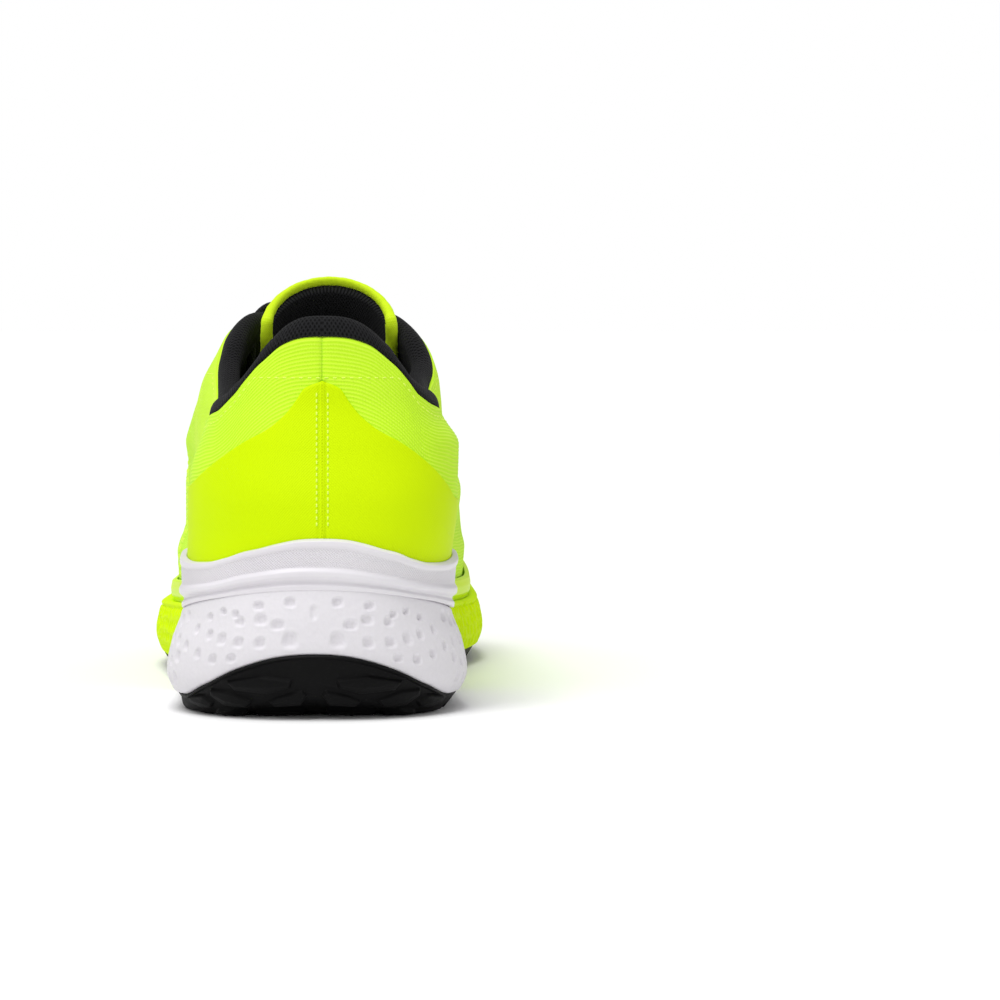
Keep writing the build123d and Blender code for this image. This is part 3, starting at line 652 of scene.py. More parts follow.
def form_level_at(x, share, grow=0.0):
    """The level at which the form's surface stands over a point of the plan."""
    centre = SIDE_SHIFT + centre_line(share)
    sign = np.where(x < centre, LATERAL, MEDIAL)
    low, high = np.full_like(x, 0.40), np.full_like(x, 1.22)
    for _ in range(36):
        middle = (low + high) / 2
        wide = form_width(sign, share * LENGTH, middle, grow) > np.abs(x - centre)
        low, high = np.where(wide, middle, low), np.where(wide, high, middle)
    return low


def throat_centre(share):
    return SIDE_SHIFT + throat_lean(share)


def throat_edge(sign, share):
    return throat_centre(share) + sign * (THROAT_HALF + throat_flare(share))


def over_plan(x, share):
    """u and level of the surface over plan points."""
    level = form_level_at(x, share)
    return u_at(share * LENGTH - form_back(level), form_back(level), reach(level)), level


def throat_line(sign, count):
    """From the collar's front corner along the throat's edge to the middle of its end."""
    shares = np.linspace(0.36, 0.46, 200)
    edge = throat_edge(sign, shares)
    level = form_level_at(edge, shares)
    limit = by_side(sign, top_lateral(shares), top_medial(shares))
    corner = shares[int(np.argmax(level < limit))]
    straight = np.linspace(corner, 0.63, 400)
    half = THROAT_HALF + throat_flare(0.63)
    sagitta = (THROAT_END - 0.63) * LENGTH
    radius = (half ** 2 + sagitta ** 2) / (2 * sagitta)
    start = math.asin(min(1.0, half / radius))
    start = start if sagitta < radius else math.pi - start
    turn = np.linspace(start, 0, 200)[1:]
    x = np.concatenate([throat_edge(sign, straight), throat_centre(0.66) + sign * radius * np.sin(turn)])
    y = np.concatenate([straight * LENGTH, THROAT_END * LENGTH - radius + radius * np.cos(turn)])
    arc = arc_lengths(np.stack([x, y], -1))
    even = np.linspace(0, arc[-1], count)
    x, y = np.interp(even, arc, x), np.interp(even, arc, y)
    u, level = over_plan(x, y / LENGTH)
    return u, level, corner, y / LENGTH


def rib_relief(patch):
    return RIB_DEPTH * np.abs(np.sin(math.pi * patch.up / RIB_PITCH)) - RIB_DEPTH


def wavy(patch):
    """Lets the knit's ribs wander a little."""
    a = patch.along
    return patch.up + 0.32 * np.sin(a / 6.3 + patch.up / 9) + 0.16 * np.sin(a / 2.3 + patch.up / 4)


def centre_seam(patch):
    return -SEAM_DEPTH * np.exp(-(patch.along / SEAM_WIDTH) ** 2)


def upper_columns(sign):
    """Signs, low and high lines, ease and shares of the columns from the heel to the throat's end."""
    signs, distance = side_columns(sign, 0.395 * LENGTH, 0.95, plus(topline, 0))
    high_back = form_line(signs, distance, topline)
    tu, tl, corner, tshare = throat_line(sign, 150)
    keep = share_of(on_form(signs, *high_back)) < corner - 0.002
    distance, signs = distance[keep], signs[keep]
    high = [np.concatenate([a[keep], b]) for a, b in zip(high_back, (tu, tl))]
    low_back = form_line(signs, distance, plus(rim, -2.0))
    shares = np.concatenate([share_of(on_form(signs, *low_back)), tshare])
    low_distance = np.concatenate([distance, tshare * LENGTH - form_back(0.25)])
    all_signs = np.full_like(low_distance, sign)
    low = form_line(all_signs, low_distance, plus(rim, -2.0))
    forward = step(np.arange(len(low_distance)), keep.sum() - 30, keep.sum() + 40)
    return all_signs, low, high, 1 + 0.7 * forward, shares


def trimmed(columns, chosen):
    signs, low, high, ease = columns[:4]
    return signs[chosen], [a[chosen] for a in low], [a[chosen] for a in high], ease[chosen]


SEAM_SHARE = 0.585
ROWS = 250


def make_quarters():
    for sign, name in SIDES:
        columns = upper_columns(sign)
        signs, low, high, ease = trimmed(columns, columns[4] <= SEAM_SHARE)
        patch = Patch(on_form, signs, low, high, ROWS, ease)
        patch.up = patch.up[:, -1:] - patch.up
        patch.up = wavy(patch)
        relief = rib_relief(patch) + centre_seam(patch) + 0.05
        edge = -1.0 * step(patch.t, 0.985, 1.0) ** 2
        side_shell(f"quarter_{name}_knit", sign, patch, relief + edge, KNIT_INSIDE, slot="knit_yellow",
                   replaces=[f"quarter_{name}"], material=KNIT)


def ridge_columns(sign, count):
    """Columns from the throat's end to the toe, whose tops lie on the ridge."""
    share_end = 0.974
    shares = THROAT_END + (share_end - THROAT_END) * np.linspace(0, 1, count) ** 0.8
    fine = np.linspace(0.34, 1.22, 4000)
    ridge_level = np.interp(-shares, -form_front(fine), fine)
    high = (np.ones(count), ridge_level)
    low_distance = shares * LENGTH - form_back(0.25)
    low_distance[-1] = LENGTH
    signs = np.full(count, sign)
    low = form_line(signs, low_distance, plus(rim, -2.0))
    return signs, low, high


def make_vamp():
    front_sheet("vamp_knit", SEAM_SHARE - 0.002, 0.0, KNIT_INSIDE, slot="knit_yellow", replaces=["vamp"],
                material=KNIT)
    front_sheet("vamp_lining_mesh", 0.352, *VAMP_LINING_FACES, slot="lining_black", replaces=["vamp_lining"],
                material=LINING)


def front_sheet(name, start, outer_depth, inner_depth, **rest):
    """A sheet over the front of the form, from a share of the length on, open along the throat."""
    verts, faces, flows, offset = [], [], [], 0
    for sign in (LATERAL, MEDIAL):
        columns = upper_columns(sign)
        signs, low, high, ease = trimmed(columns, columns[4] >= start)
        beside_throat = len(ease)
        ridge = ridge_columns(sign, 190)
        signs = np.concatenate([signs, ridge[0][1:]])
        low = [np.concatenate([a, b[1:]]) for a, b in zip(low, ridge[1])]
        high = [np.concatenate([a, b[1:]]) for a, b in zip(high, ridge[2])]
        wide = step(np.arange(len(signs)), beside_throat - 70, beside_throat)
        patch = Patch(on_form, signs, low, high, 120, 1.7 + 0.5 * wide)
        patch.up = wavy(patch)
        relief = rib_relief(patch) + 0.05 if start > 0.5 else 0.0
        columns, rows = patch.u.shape
        flip = sign < 0
        count = columns * rows
        verts += [patch.at(outer_depth + relief).reshape(-1, 3), patch.at(inner_depth).reshape(-1, 3)]
        flows += [patch.flow().reshape(-1, 3)] * 2
        faces += [quads(columns, rows, offset, flip=flip),
                  quads(columns, rows, offset + count, flip=not flip)]
        low, throat, back, _ = edge_faces(columns, rows)
        edges = (low, throat[:beside_throat - 1], back)
        faces += [(edge[:, ::-1] if flip else edge) + offset for edge in edges]
        offset += 2 * count
    verts, faces, flows = (np.concatenate(part) for part in (verts, faces, flows))
    weld(new_object(name, verts, faces, flows, **rest), 0.08)


def weld(obj, distance):
    mesh = bmesh.new()
    mesh.from_mesh(obj.data)
    bmesh.ops.remove_doubles(mesh, verts=mesh.verts, dist=distance / MM)
    mesh.to_mesh(obj.data)
    mesh.free()


# The overlay's upper edge: height against distance from the centre line, then its slanted front
OVERLAY_EDGE = smooth([
    (0.0, 92.0), (4.7, 90.0), (7.6, 85.9), (10.4, 82.5), (15.0, 78.7), (21.5, 75.1), (29.5, 69.0),
    (34.6, 63.5), (37.5, 59.5), (60.0, 52.0),
])


def overlay_top(point, sign):
    s = point[..., 1] + LENGTH / 2
    x = np.abs(point[..., 0] - SIDE_SHIFT - heel_turn(s))
    front = 59.0 + (50.0 - s) * 1.08
    return np.minimum(OVERLAY_EDGE(x), front)


def make_overlays():
    for sign, name in SIDES:
        signs, distance = side_columns(sign, 61.5, 0.42, plus(rim, 8.0))
        low = form_line(signs, distance, plus(rim, 1.0))
        high = form_line(signs, distance, overlay_top)
        patch = Patch(on_form, signs, low, high, 150)
        along = patch.along
        seam = 0.30 * np.exp(-(along / 0.55) ** 4) - 0.30 * np.exp(-((along - 0.95) / 0.3) ** 2)
        edge = -0.5 * step(patch.t, 0.985, 1.0) ** 2
        side_shell(f"heel_overlay_{name}_film", sign, patch, FILM_OUTSIDE + seam + edge, FILM_INSIDE,
                   slot="film_yellow", replaces=[f"heel_overlay_{name}"], material=FILM)


def front_band(low_curve, start, spacing, line=form_line):
    """Columns from the lateral side round the toe to the medial side."""
    sides = []
    for sign in (LATERAL, MEDIAL):
        distance = columns_by_arc(line, sign, LENGTH, spacing, low_curve)
        distance = distance[distance >= start * 0.999 - 1]
        distance[0] = start
        sides.append((np.full_like(distance, sign), distance))
    signs = np.concatenate([sides[0][0], sides[1][0][::-1][1:]])
    distance = np.concatenate([sides[0][1], sides[1][1][::-1][1:]])
    return signs, distance


def rail_profile(t):
    """How far the clip stands out beyond its wall, from its lower edge, 0, to its top, 1."""
    rim_lip = 0.30 * step(t, -0.02, 0.02) * (1 - step(t, 0.08, 0.13))
    groove = -0.42 * step(t, 0.10, 0.16) * (1 - step(t, 0.17, 0.25))
    rib = 0.85 * step(t, 0.19, 0.29) * (1 - step(t, 0.35, 0.47))
    lip = 0.40 * step(t, 0.78, 0.88)
    return rim_lip + groove + rib + lip


def moulded(name, sign, signs, low_d, high_d, rows, profile, band, **rest):
    """A rail over the foot of the upper, from the midsole's rim to the rail's top."""
    low = form_line(signs, low_d, plus(rim, 0.1))
    patch = Patch(on_form, signs, low, form_line(signs, high_d, rail_top), rows)
    if sign == MEDIAL:
        patch.recentre()
    side_shell(name, sign, patch, CLIP_OUTSIDE + profile(patch.t), CLIP_INSIDE, extra={"band": band(patch.t)},
               **rest)


def make_clip():
    split = COLOUR_SPLIT * LENGTH - CLIP_BACK
    signs, low_d, high_d = joined(0.55, split - CLIP_SLANT_LOW, split + CLIP_SLANT_HIGH, plus(rim, 6.0))
    moulded("heel_clip_moulded", MEDIAL, signs, low_d, high_d, 84,
            lambda t: rail_profile(t) - 1.5 * step(t, 0.93, 1.0) ** 2,
            lambda t: step(t, 0.43, 0.47) * (1 - step(t, 0.80, 0.84)),
            slot="clip_white", replaces=["heel_clip"], material=CLIP)


def make_rail():
    split = COLOUR_SPLIT * LENGTH - CLIP_BACK
    signs, distance = front_band(plus(rim, 3.0), split, 0.7)
    behind = 1 - np.clip((distance - split) / 30.0, 0, 1)
    moulded("front_rail_moulded", LATERAL, signs, distance - CLIP_SLANT_LOW * behind,
            distance + CLIP_SLANT_HIGH * behind, 56,
            lambda t: 0.55 * step(t, 0.05, 0.3) * (1 - step(t, 0.55, 0.95)) - 1.5 * step(t, 0.9, 1.0) ** 2,
            lambda t: 0 * t, slot="rail_yellow", replaces=["front_rail"], material=RAIL)


# Sole -----------------------------------------------------------------------------------------

def dimple(a, z, centre_a, centre_z, half_a, half_z, depth, tail=0.0):
    """A moulded recess with rounded corners: steep above, soft below."""
    da = (a - centre_a) / half_a
    dz = (z - centre_z) / half_z
    narrow = 1 + tail * np.clip(dz, -1.5, 1.5)
    r = (np.abs(da * narrow) ** 2.5 + np.abs(dz) ** 2.5) ** (1 / 2.5)
    return -depth * (1 - step(r, 0.52, 1.08)) + 0.08 * np.exp(-((r - 1.25) / 0.18) ** 2)


# Dimples of the heel, each (distance from the centre line, height, half width, half height), both sides alike
HEEL_DIMPLES = [
    (6.6, 32.4, 1.6, 1.5), (16.2, 31.3, 1.8, 1.3), (24.5, 28.8, 1.4, 1.2), (29.5, 29.4, 1.3, 1.1),
    (10.2, 26.3, 2.0, 1.5), (15.4, 27.6, 2.0, 1.6), (22.6, 26.9, 1.7, 1.5), (35.5, 27.6, 1.2, 1.2),
    (6.4, 22.2, 2.1, 2.3), (15.0, 21.3, 1.7, 1.7), (22.0, 21.2, 1.8, 1.6), (28.4, 21.9, 1.7, 1.9),
    (34.0, 22.8, 1.4, 1.6), (41.0, 24.0, 1.3, 1.5), (24.0, 16.8, 1.6, 1.3), (31.0, 16.2, 1.6, 1.5),
    (38.0, 17.4, 1.4, 1.6), (45.0, 19.2, 1.4, 1.6),
]


def wall_dimples(patch, centred):
    a, z = patch.along, patch.points[..., 2]
    top, bottom = z.max(1, keepdims=True), z.min(1, keepdims=True)
    relief = np.zeros_like(a)
    rng = np.random.default_rng(7)
    marks = []
    if centred:
        marks += [(s * d, h, wa, wz, 0.92, 0.12) for s in (-1, 1) for d, h, wa, wz in HEEL_DIMPLES]
        marks.append((0.0, 29.6, 1.0, 2.1, 0.5, 0.0))
    reach_a = np.abs(a).max() if centred else a.max()
    begin = 49.0 if centred else 3.0
    for row, share in enumerate((0.84, 0.62, 0.40, 0.18)):
        pitch = 5.6
        place = begin + (row % 2) * pitch / 2
        while place < reach_a - 3:
            wobble = rng.uniform(-0.7, 0.7, 2)
            size = rng.uniform(0.85, 1.15)
            for s in ((-1, 1) if centred else (1,)):
                column = int(np.argmin(np.abs(a[:, 0] - s * (place + wobble[0]))))
                height = bottom[column, 0] + (top[column, 0] - bottom[column, 0]) * share + wobble[1]
                marks.append((s * (place + wobble[0]), height, 1.45 * size, 1.6 * size, 0.85, 0.12))
            place += pitch
    for ca, cz, wa, wz, depth, tail in marks:
        near = np.nonzero(np.abs(a[:, 0] - ca) < 3 * wa)[0]
        if len(near):
            part = slice(near[0], near[-1] + 1)
            relief[part] += dimple(a[part], z[part], ca, cz, wa, wz, depth, tail)
    return relief


def skeleton(points):
    """The middle of the sole nearest to each point of its edge."""
    y = np.clip(points[..., 1], -LENGTH / 2 + 40, LENGTH / 2 - 46)
    x = SIDE_SHIFT + centre_line(y / LENGTH + 0.5)
    return np.stack([x, y, points[..., 2]], -1)


def inward(points, share):
    return points + (skeleton(points) - points) * share


def foam_piece(name, signs, low_d, high_d, rows, centred, **rest):
    """One colour of the midsole: its dimpled wall, closed over the seat and under the bond."""
    patch = Patch(on_sole, signs, sole_line(signs, low_d, bond_line), sole_line(signs, high_d, rim), rows)
    if centred:
        patch.recentre()
    t = patch.t
    relief = wall_dimples(patch, centred) * step(t, 0.0, 0.05) * (1 - step(t, 0.93, 0.99))
    relief = relief - 0.5 * step(t, 0.955, 1.0) ** 2 - 0.3 * (1 - step(t, 0.0, 0.03))
    if not centred:
        relief = relief - 0.5 * np.exp(-((t - 0.90) / 0.03) ** 2)
    wall = patch.at(relief)
    edge_low, edge_high = wall[:, 0], wall[:, -1]
    under = [inward(edge_low, s) for s in (1.0, 0.66, 0.33, 0.12)]
    ledge = [inward(edge_high, 0.06), inward(edge_high, 0.14)]
    drop = []
    for s in (0.22, 0.5, 1.0):
        p = inward(edge_high, s)
        p[:, 2] = np.minimum(seat_share(share_of(p)) * STACK - 0.3, p[:, 2] - 0.5)
        drop.append(p)
    grid = np.concatenate([np.stack(under, 1), wall, np.stack(ledge, 1), np.stack(drop, 1)], 1)
    flow = np.pad(patch.flow(), ((0, 0), (len(under), len(ledge) + len(drop)), (0, 0)), "edge")
    columns, count = grid.shape[:2]
    faces = quads(columns, count).tolist()
    faces += [list(range(count)), list(range(columns * count - 1, (columns - 1) * count - 1, -1))]
    weld(new_object(name, grid.reshape(-1, 3), faces, flow.reshape(-1, 3), **rest), 0.02)


def make_midsole():
    split = COLOUR_SPLIT * LENGTH
    signs, low_d, high_d = joined(0.5, split - FOAM_SLANT_LOW, split - FOAM_SLANT_HIGH, plus(rim, -14.0),
                                  sole_line)
    foam_piece("midsole_rear_foam", signs, low_d, high_d, 80, True, slot="foam_white",
               replaces=["midsole_rear"], material=FOAM_WHITE)
    signs, distance = front_band(plus(rim, -8.0), split, 0.62, sole_line)
    ahead = np.clip((distance - split) / 40.0, 0, 1)
    low_d = distance - FOAM_SLANT_LOW * (1 - ahead)
    high_d = distance - FOAM_SLANT_HIGH * (1 - ahead)
    foam_piece("midsole_front_foam", signs[::-1], low_d[::-1], high_d[::-1], 62, False, slot="foam_yellow",
               replaces=["midsole_front"], material=FOAM_YELLOW)


# Collar, linings and sockliner ----------------------------------------------------------------

ROLL_MIDDLE, ROLL_HALF, ROLL_RISE, ROLL_BACK = -3.6, 3.15, 5.2, -2.2
ANKLE_INSIDE, ANKLE_FLOOR = -6.75, 0.55


def off_form(signs, distance, level, depth):
    """Points off the form, a distance ahead of its back at their level."""
    u = u_at(distance, form_back(level), reach(level))
    return on_form(signs, u, level) + normals(on_form, signs, u, level) * depth


def make_collar():
    """Black mesh: the padded roll over the collar's edge and the inside of the ankle."""
    for sign, name in SIDES:
        signs, distance = side_columns(sign, 0.36 * LENGTH - 6, 1.0, topline)
        level = form_line(signs, distance, topline)[1]
        grid = []
        for turn in np.linspace(0, math.pi, 17):
            rise = ROLL_RISE * np.sin(turn) ** 0.8 / COLLAR_HEIGHT
            grid.append(off_form(signs, distance, level + rise, ROLL_MIDDLE + ROLL_HALF * np.cos(turn)))
        for t in np.linspace(0, 1, 42)[1:]:
            swell = 0.9 * math.sin(math.pi * min(1.0, t * 1.25)) ** 0.7 if t < 0.8 else 0.0
            sink = 2.9 * float(step(t, 0.72, 1.0))
            grid.append(off_form(signs, distance, level + (ANKLE_FLOOR - level) * t,
                                 ANKLE_INSIDE - swell + sink))
        outer = np.stack(grid, 1)
        up = arc_lengths(outer, 1)
        along = np.repeat(arc_lengths(outer[:, 8])[:, None], outer.shape[1], 1)
        heights = outer[..., 2] / COLLAR_HEIGHT
        back = [off_form(signs, distance, np.minimum(np.clip(height, 0, None), level + 0.006), ROLL_BACK)
                for height in heights.T]
        order = slice(None, None, -1 if sign < 0 else 1)
        obj = shell(f"collar_{name}_padded", outer[order], np.stack(back, 1)[order],
                    np.stack([along, up, up], -1)[order], slot="lining_black",
                    replaces=[f"collar_lining_{name}", f"collar_pad_{name}"], material=LINING)


def make_linings():
    for sign, name in SIDES:
        signs, distance = side_columns(sign, 0.35 * LENGTH, 2.0, rim)
        low = form_line(signs, distance, plus(seat_line, 1.5))
        high = form_line(signs, distance, lambda point, sign: 0.58 * COLLAR_HEIGHT + 0 * point[..., 0])
        side_shell(f"heel_lining_{name}", sign, Patch(on_form, signs, low, high, 30), *HEEL_LINING_FACES,
                   slot="lining_black", replaces=["heel_lining"], material=LINING)


def flat_fan(name, edge, top, bottom, **rest):
    """A closed pad from the points of its edge, with the heights of its two faces."""
    rows = []
    for s, lift in ((1.0, 0.0), (0.8, 0.0), (0.6, 0.0), (0.4, 0.1), (0.25, 0.25), (0.14, 0.7), (0.06, 1.5),
                    (0.015, 2.2)):
        p = inward(edge, s)
        p[:, 2] = top(p) + lift
        rows.append(p)
    side = edge.copy()
    side[:, 2] = top(edge) + 1.2
    rows.append(side)
    low = edge.copy()
    low[:, 2] = bottom(edge)
    rows.append(low)
    for s in (0.3, 1.0):
        p = inward(edge, s)
        p[:, 2] = bottom(p)
        rows.append(p)
    grid = np.stack(rows, 1)
    points = grid.reshape(-1, 3)
    obj = new_object(name, points, quads(*grid.shape[:2], close=True), points, **rest)
    weld(obj, 0.05)
    return obj


def closed_outline(grow, level, count=150):
    """Points round the whole form at one level, offset outwards by grow."""
    half = np.linspace(0, 1, count)
    lateral = on_form(np.full(count, LATERAL), half, np.full(count, level), grow)
    medial = on_form(np.full(count - 2, MEDIAL), half[1:-1][::-1], np.full(count - 2, level), grow)
    return np.concatenate([lateral, medial])


def make_footbed():
    edge = closed_outline(-4.9, 0.28)
    bed = lambda p: seat_share(share_of(p)) * STACK + 6.0
    base = lambda p: seat_share(share_of(p)) * STACK + 1.7
    obj = flat_fan("insole_sockliner", edge, lambda p: bed(p) - 1.6, base, body="insole", slot="sockliner",
                   replaces=["insole"], material=SOCK)


# Tongue ---------------------------------------------------------------------------------------

tongue_drop = smooth([(0.345, 4.1), (0.46, 9.2), (0.63, 9.2), (0.72, 4.4)])
tongue_radius = smooth([(0.345, TONGUE_RADIUS), (0.50, 1.15 * TONGUE_RADIUS), (0.72, 1.6 * TONGUE_RADIUS)])
tongue_spread = smooth([(0.345, 84.0), (0.42, 72.0), (0.55, 46.0), (0.72, 27.0)])
RIDGE_LEVELS = np.linspace(0.30, 1.219, 4000)


def crown(share):
    level = np.interp(-np.asarray(share, float), -form_front(RIDGE_LEVELS), RIDGE_LEVELS)
    return level * COLLAR_HEIGHT - tongue_drop(share)


def tongue_point(share, turn, depth):
    """A point of the tongue. turn runs from -1 to 1 across it and depth is below its outside."""
    share, turn, depth = np.broadcast_arrays(share, turn, depth)
    run = 0.02 * LENGTH
    rise = crown(share - 0.01) - crown(share + 0.01)
    slope = np.arctan2(rise, run)
    radius = tongue_radius(share)
    angle = np.radians(tongue_spread(share)) * turn
    r = radius - depth
    sideways = r * np.sin(angle)
    out = r * np.cos(angle) - radius
    return np.stack([throat_centre(share) + sideways,
                     (share - 0.5) * LENGTH + out * np.sin(slope),
                     crown(share) + out * np.cos(slope)], -1)


def make_tongue():
    shares = np.linspace(TONGUE_TOP - 0.004, TONGUE_BASE - 0.002, 110)[:, None]
    turn = np.linspace(-1, 1, 61)[None, :]
    plump = 0.5 * (1 - turn ** 8) * np.sin(math.pi * np.clip((shares - 0.34) / 0.2, 0, 1)) ** 0.6
    outer = tongue_point(shares, turn * 0.97, 0.1 + 0.5 * turn ** 8)
    split = tongue_point(shares, turn * 0.97, 1.3)
    lining = tongue_point(shares, turn * 0.965, TONGUE_WALL - 0.2 + 0.35 * plump - 0.6 * turn ** 8)
    flow = np.stack([np.broadcast_to(turn * 24, outer.shape[:2]),
                     np.broadcast_to(arc_lengths(outer[:, 30])[:, None], outer.shape[:2]),
                     np.zeros(outer.shape[:2])], -1)
    shell("tongue_face_knit", outer[::-1], split[::-1], flow[::-1], body="tongue", slot="knit_yellow",
          replaces=["tongue_shell"], material=KNIT)
    obj = shell("tongue_lining_padded", split[::-1], lining[::-1], flow[::-1], body="tongue",
                slot="lining_black", replaces=["tongue_pad", "tongue_lining"], material=LINING)
    make_binding()


def tube(name, path, side, up, half_wide, half_high, segments, relief=None, **rest):
    """A tube of oval section along points, with a frame given at each point."""
    angle = np.linspace(0, 2 * math.pi, segments, endpoint=False)
    wide = np.broadcast_to(half_wide, len(path))[:, None]
    high = np.broadcast_to(half_high, len(path))[:, None]
    if relief:
        swell = relief(arc_lengths(path)[:, None], angle)
        wide, high = wide * swell, high * swell
    grid = (path[:, None] + side[:, None] * (np.cos(angle) * wide)[..., None]
            + up[:, None] * (np.sin(angle) * high)[..., None])
    n, m = grid.shape[:2]
    i, j = np.meshgrid(np.arange(n - 1), np.arange(m), indexing="ij")
    k = (j + 1) % m
    face = np.stack([i * m + j, i * m + k, (i + 1) * m + k, (i + 1) * m + j], -1).reshape(-1, 4)
    faces = [list(f) for f in face] + [list(range(m))[::-1], [(n - 1) * m + q for q in range(m)]]
    flow = np.stack([np.repeat(arc_lengths(path)[:, None], m, 1),
                     np.broadcast_to(angle / (2 * math.pi) * 8, (n, m)), np.zeros((n, m))], -1)
    return new_object(name, grid.reshape(-1, 3), faces, flow.reshape(-1, 3), **rest)


def make_binding():
    """The rolled edge: up one side of the tongue, over its crown and down the other."""
    end, corner, half = (TONGUE_TOP - 0.0065) * LENGTH, 9.0, 29.5
    way = [(0.50 * LENGTH, -half), (end + corner, -half), (end, -half), (end, corner - half), (end, 0.0),
           (end, half - corner), (end, half), (end + corner, half), (0.50 * LENGTH, half)]
    path = rounded_path([(y, across, 0.0) for y, across in way], 0.35)
    share, turn = path[:, 0] / LENGTH, 0.985 * path[:, 1] / half
    centre = tongue_point(share, turn, 0.8 + 1.5 * turn ** 2)
    out = unit(tongue_point(share, turn, 0.0) - centre)
    side = unit(np.cross(out, unit(np.gradient(centre, axis=0))))

    def creases(arc, angle):
        fold = np.sin(arc * 1.15 + 1.3 * np.sin(arc * 0.31)) + 0.6 * np.sin(arc * 2.7 + np.cos(angle))
        return 1 + 0.028 * fold

    tube("tongue_binding_roll", centre, side, out, 1.65, 1.02 + 0.8 * turn ** 2, 28, relief=creases,
         body="tongue", slot="film_yellow", replaces=["tongue_binding"], material=BINDING)


# Lace ------------------------------------------------------------------------------------------

EYELET_ROWS = 6
EYELET_FIRST, EYELET_LAST = 0.64, 0.40
EYELET_INSET = 7.0
EYESTAY_OUT, LINING_IN = 0.95, -3.6
LACE_OVER, LACE_UNDER, LACE_EDGE = 1.9, -2.4, 1.0
LACE_HIGH, LACE_LOW = 4.9, 2.5
LACE_WIDE, LACE_THICK = 1.65, 1.15


def by_eyelet(row, sign, offset, inward=0.0):
    """A point over or under an eyelet, measured from the stay's two faces."""
    share = EYELET_FIRST + (EYELET_LAST - EYELET_FIRST) * row / (EYELET_ROWS - 1)
    x = throat_edge(sign, share) + sign * (EYELET_INSET - inward)
    grow = EYESTAY_OUT if offset > 0 else LINING_IN
    level = form_level_at(np.array([x]), np.array([share]), grow)[0]
    return [x, (share - 0.5) * LENGTH, level * COLLAR_HEIGHT + offset]


def crossing(row, lift):
    share = EYELET_FIRST + (EYELET_LAST - EYELET_FIRST) * (row + 0.5) / (EYELET_ROWS - 1)
    return [float(throat_centre(share)), (share - 0.5) * LENGTH, float(crown(share)) + lift]


def lace_half(start):
    edge, sign, last = EYELET_INSET + LACE_EDGE, start, EYELET_ROWS - 1
    points = [by_eyelet(0, sign, LACE_UNDER, EYELET_INSET), by_eyelet(0, sign, LACE_UNDER),
              by_eyelet(0, sign, LACE_OVER)]
    for row in range(last):
        points.append(by_eyelet(row, sign, LACE_OVER, edge))
        points.append(crossing(row, LACE_HIGH if (start < 0) == (row % 2 == 0) else LACE_LOW))
        sign = -sign
        if row + 1 < last:
            points += [by_eyelet(row + 1, sign, LACE_UNDER, edge), by_eyelet(row + 1, sign, LACE_UNDER),
                       by_eyelet(row + 1, sign, LACE_OVER)]
    points += [by_eyelet(last, sign, LACE_OVER, edge), by_eyelet(last, sign, LACE_OVER)]
    x, y, z = by_eyelet(last, sign, LACE_UNDER)
    return points + [[x, y, z], [x + sign * 1.2, y, z - 8.0], [x + sign * 1.2, y, z - 19.0]]


def rounded_path(points, spacing):
    """A smooth line that cuts each way point's corner, evenly divided."""
    points = np.array(points, float)
    middles = (points[:-1] + points[1:]) / 2
    t = np.linspace(0, 1, 12)[:, None]
    bends = [(1 - t) ** 2 * a + 2 * t * (1 - t) * c + t * t * b
             for a, c, b in zip(middles, points[1:-1], middles[1:])]
    line = np.concatenate([points[:1]] + bends + [points[-1:]])
    arc = arc_lengths(line)
    even = np.linspace(0, arc[-1], int(arc[-1] / spacing))
    return np.stack([np.interp(even, arc, line[:, k]) for k in range(3)], -1)


def unit(v):
    return v / np.maximum(np.linalg.norm(v, axis=-1, keepdims=True), 1e-9)


def make_lace():
    share = EYELET_FIRST
    bar = [float(throat_centre(share)), (share - 0.5) * LENGTH, float(crown(share)) + 2.2]
    path = rounded_path(lace_half(LATERAL)[::-1] + [bar] + lace_half(MEDIAL), 0.34)
    tangent = unit(np.gradient(path, axis=0))
    side, v = np.empty_like(path), np.array([0.0, 1.0, 0.0])
    for i, t in enumerate(tangent):
        v = v - t * np.dot(v, t)
        v /= np.linalg.norm(v)
        side[i] = v

    def braid(arc, angle):
        a = np.sin(2 * math.pi * arc / 2.4 + 4 * angle)
        b = np.sin(2 * math.pi * arc / 2.4 - 4 * angle)
        return 1 + 0.035 * np.maximum(a, b)

    tube("lace_braided", path, side, unit(np.cross(tangent, side)), LACE_WIDE, LACE_THICK, 22, relief=braid,
         slot="lace_black", replaces=["lace"], material=LACE)


# Stitches --------------------------------------------------------------------------------------

# Length, gap, half width and height of each row's stitches
HEEL_STITCH, COLLAR_STITCH = (1.1, 0.6, 0.22, 0.16), (1.3, 1.0, 0.17, 0.07)
STAY_STITCH, SEAM_STITCH = (1.7, 1.0, 0.22, 0.16), (1.7, 1.0, 0.2, 0.14)


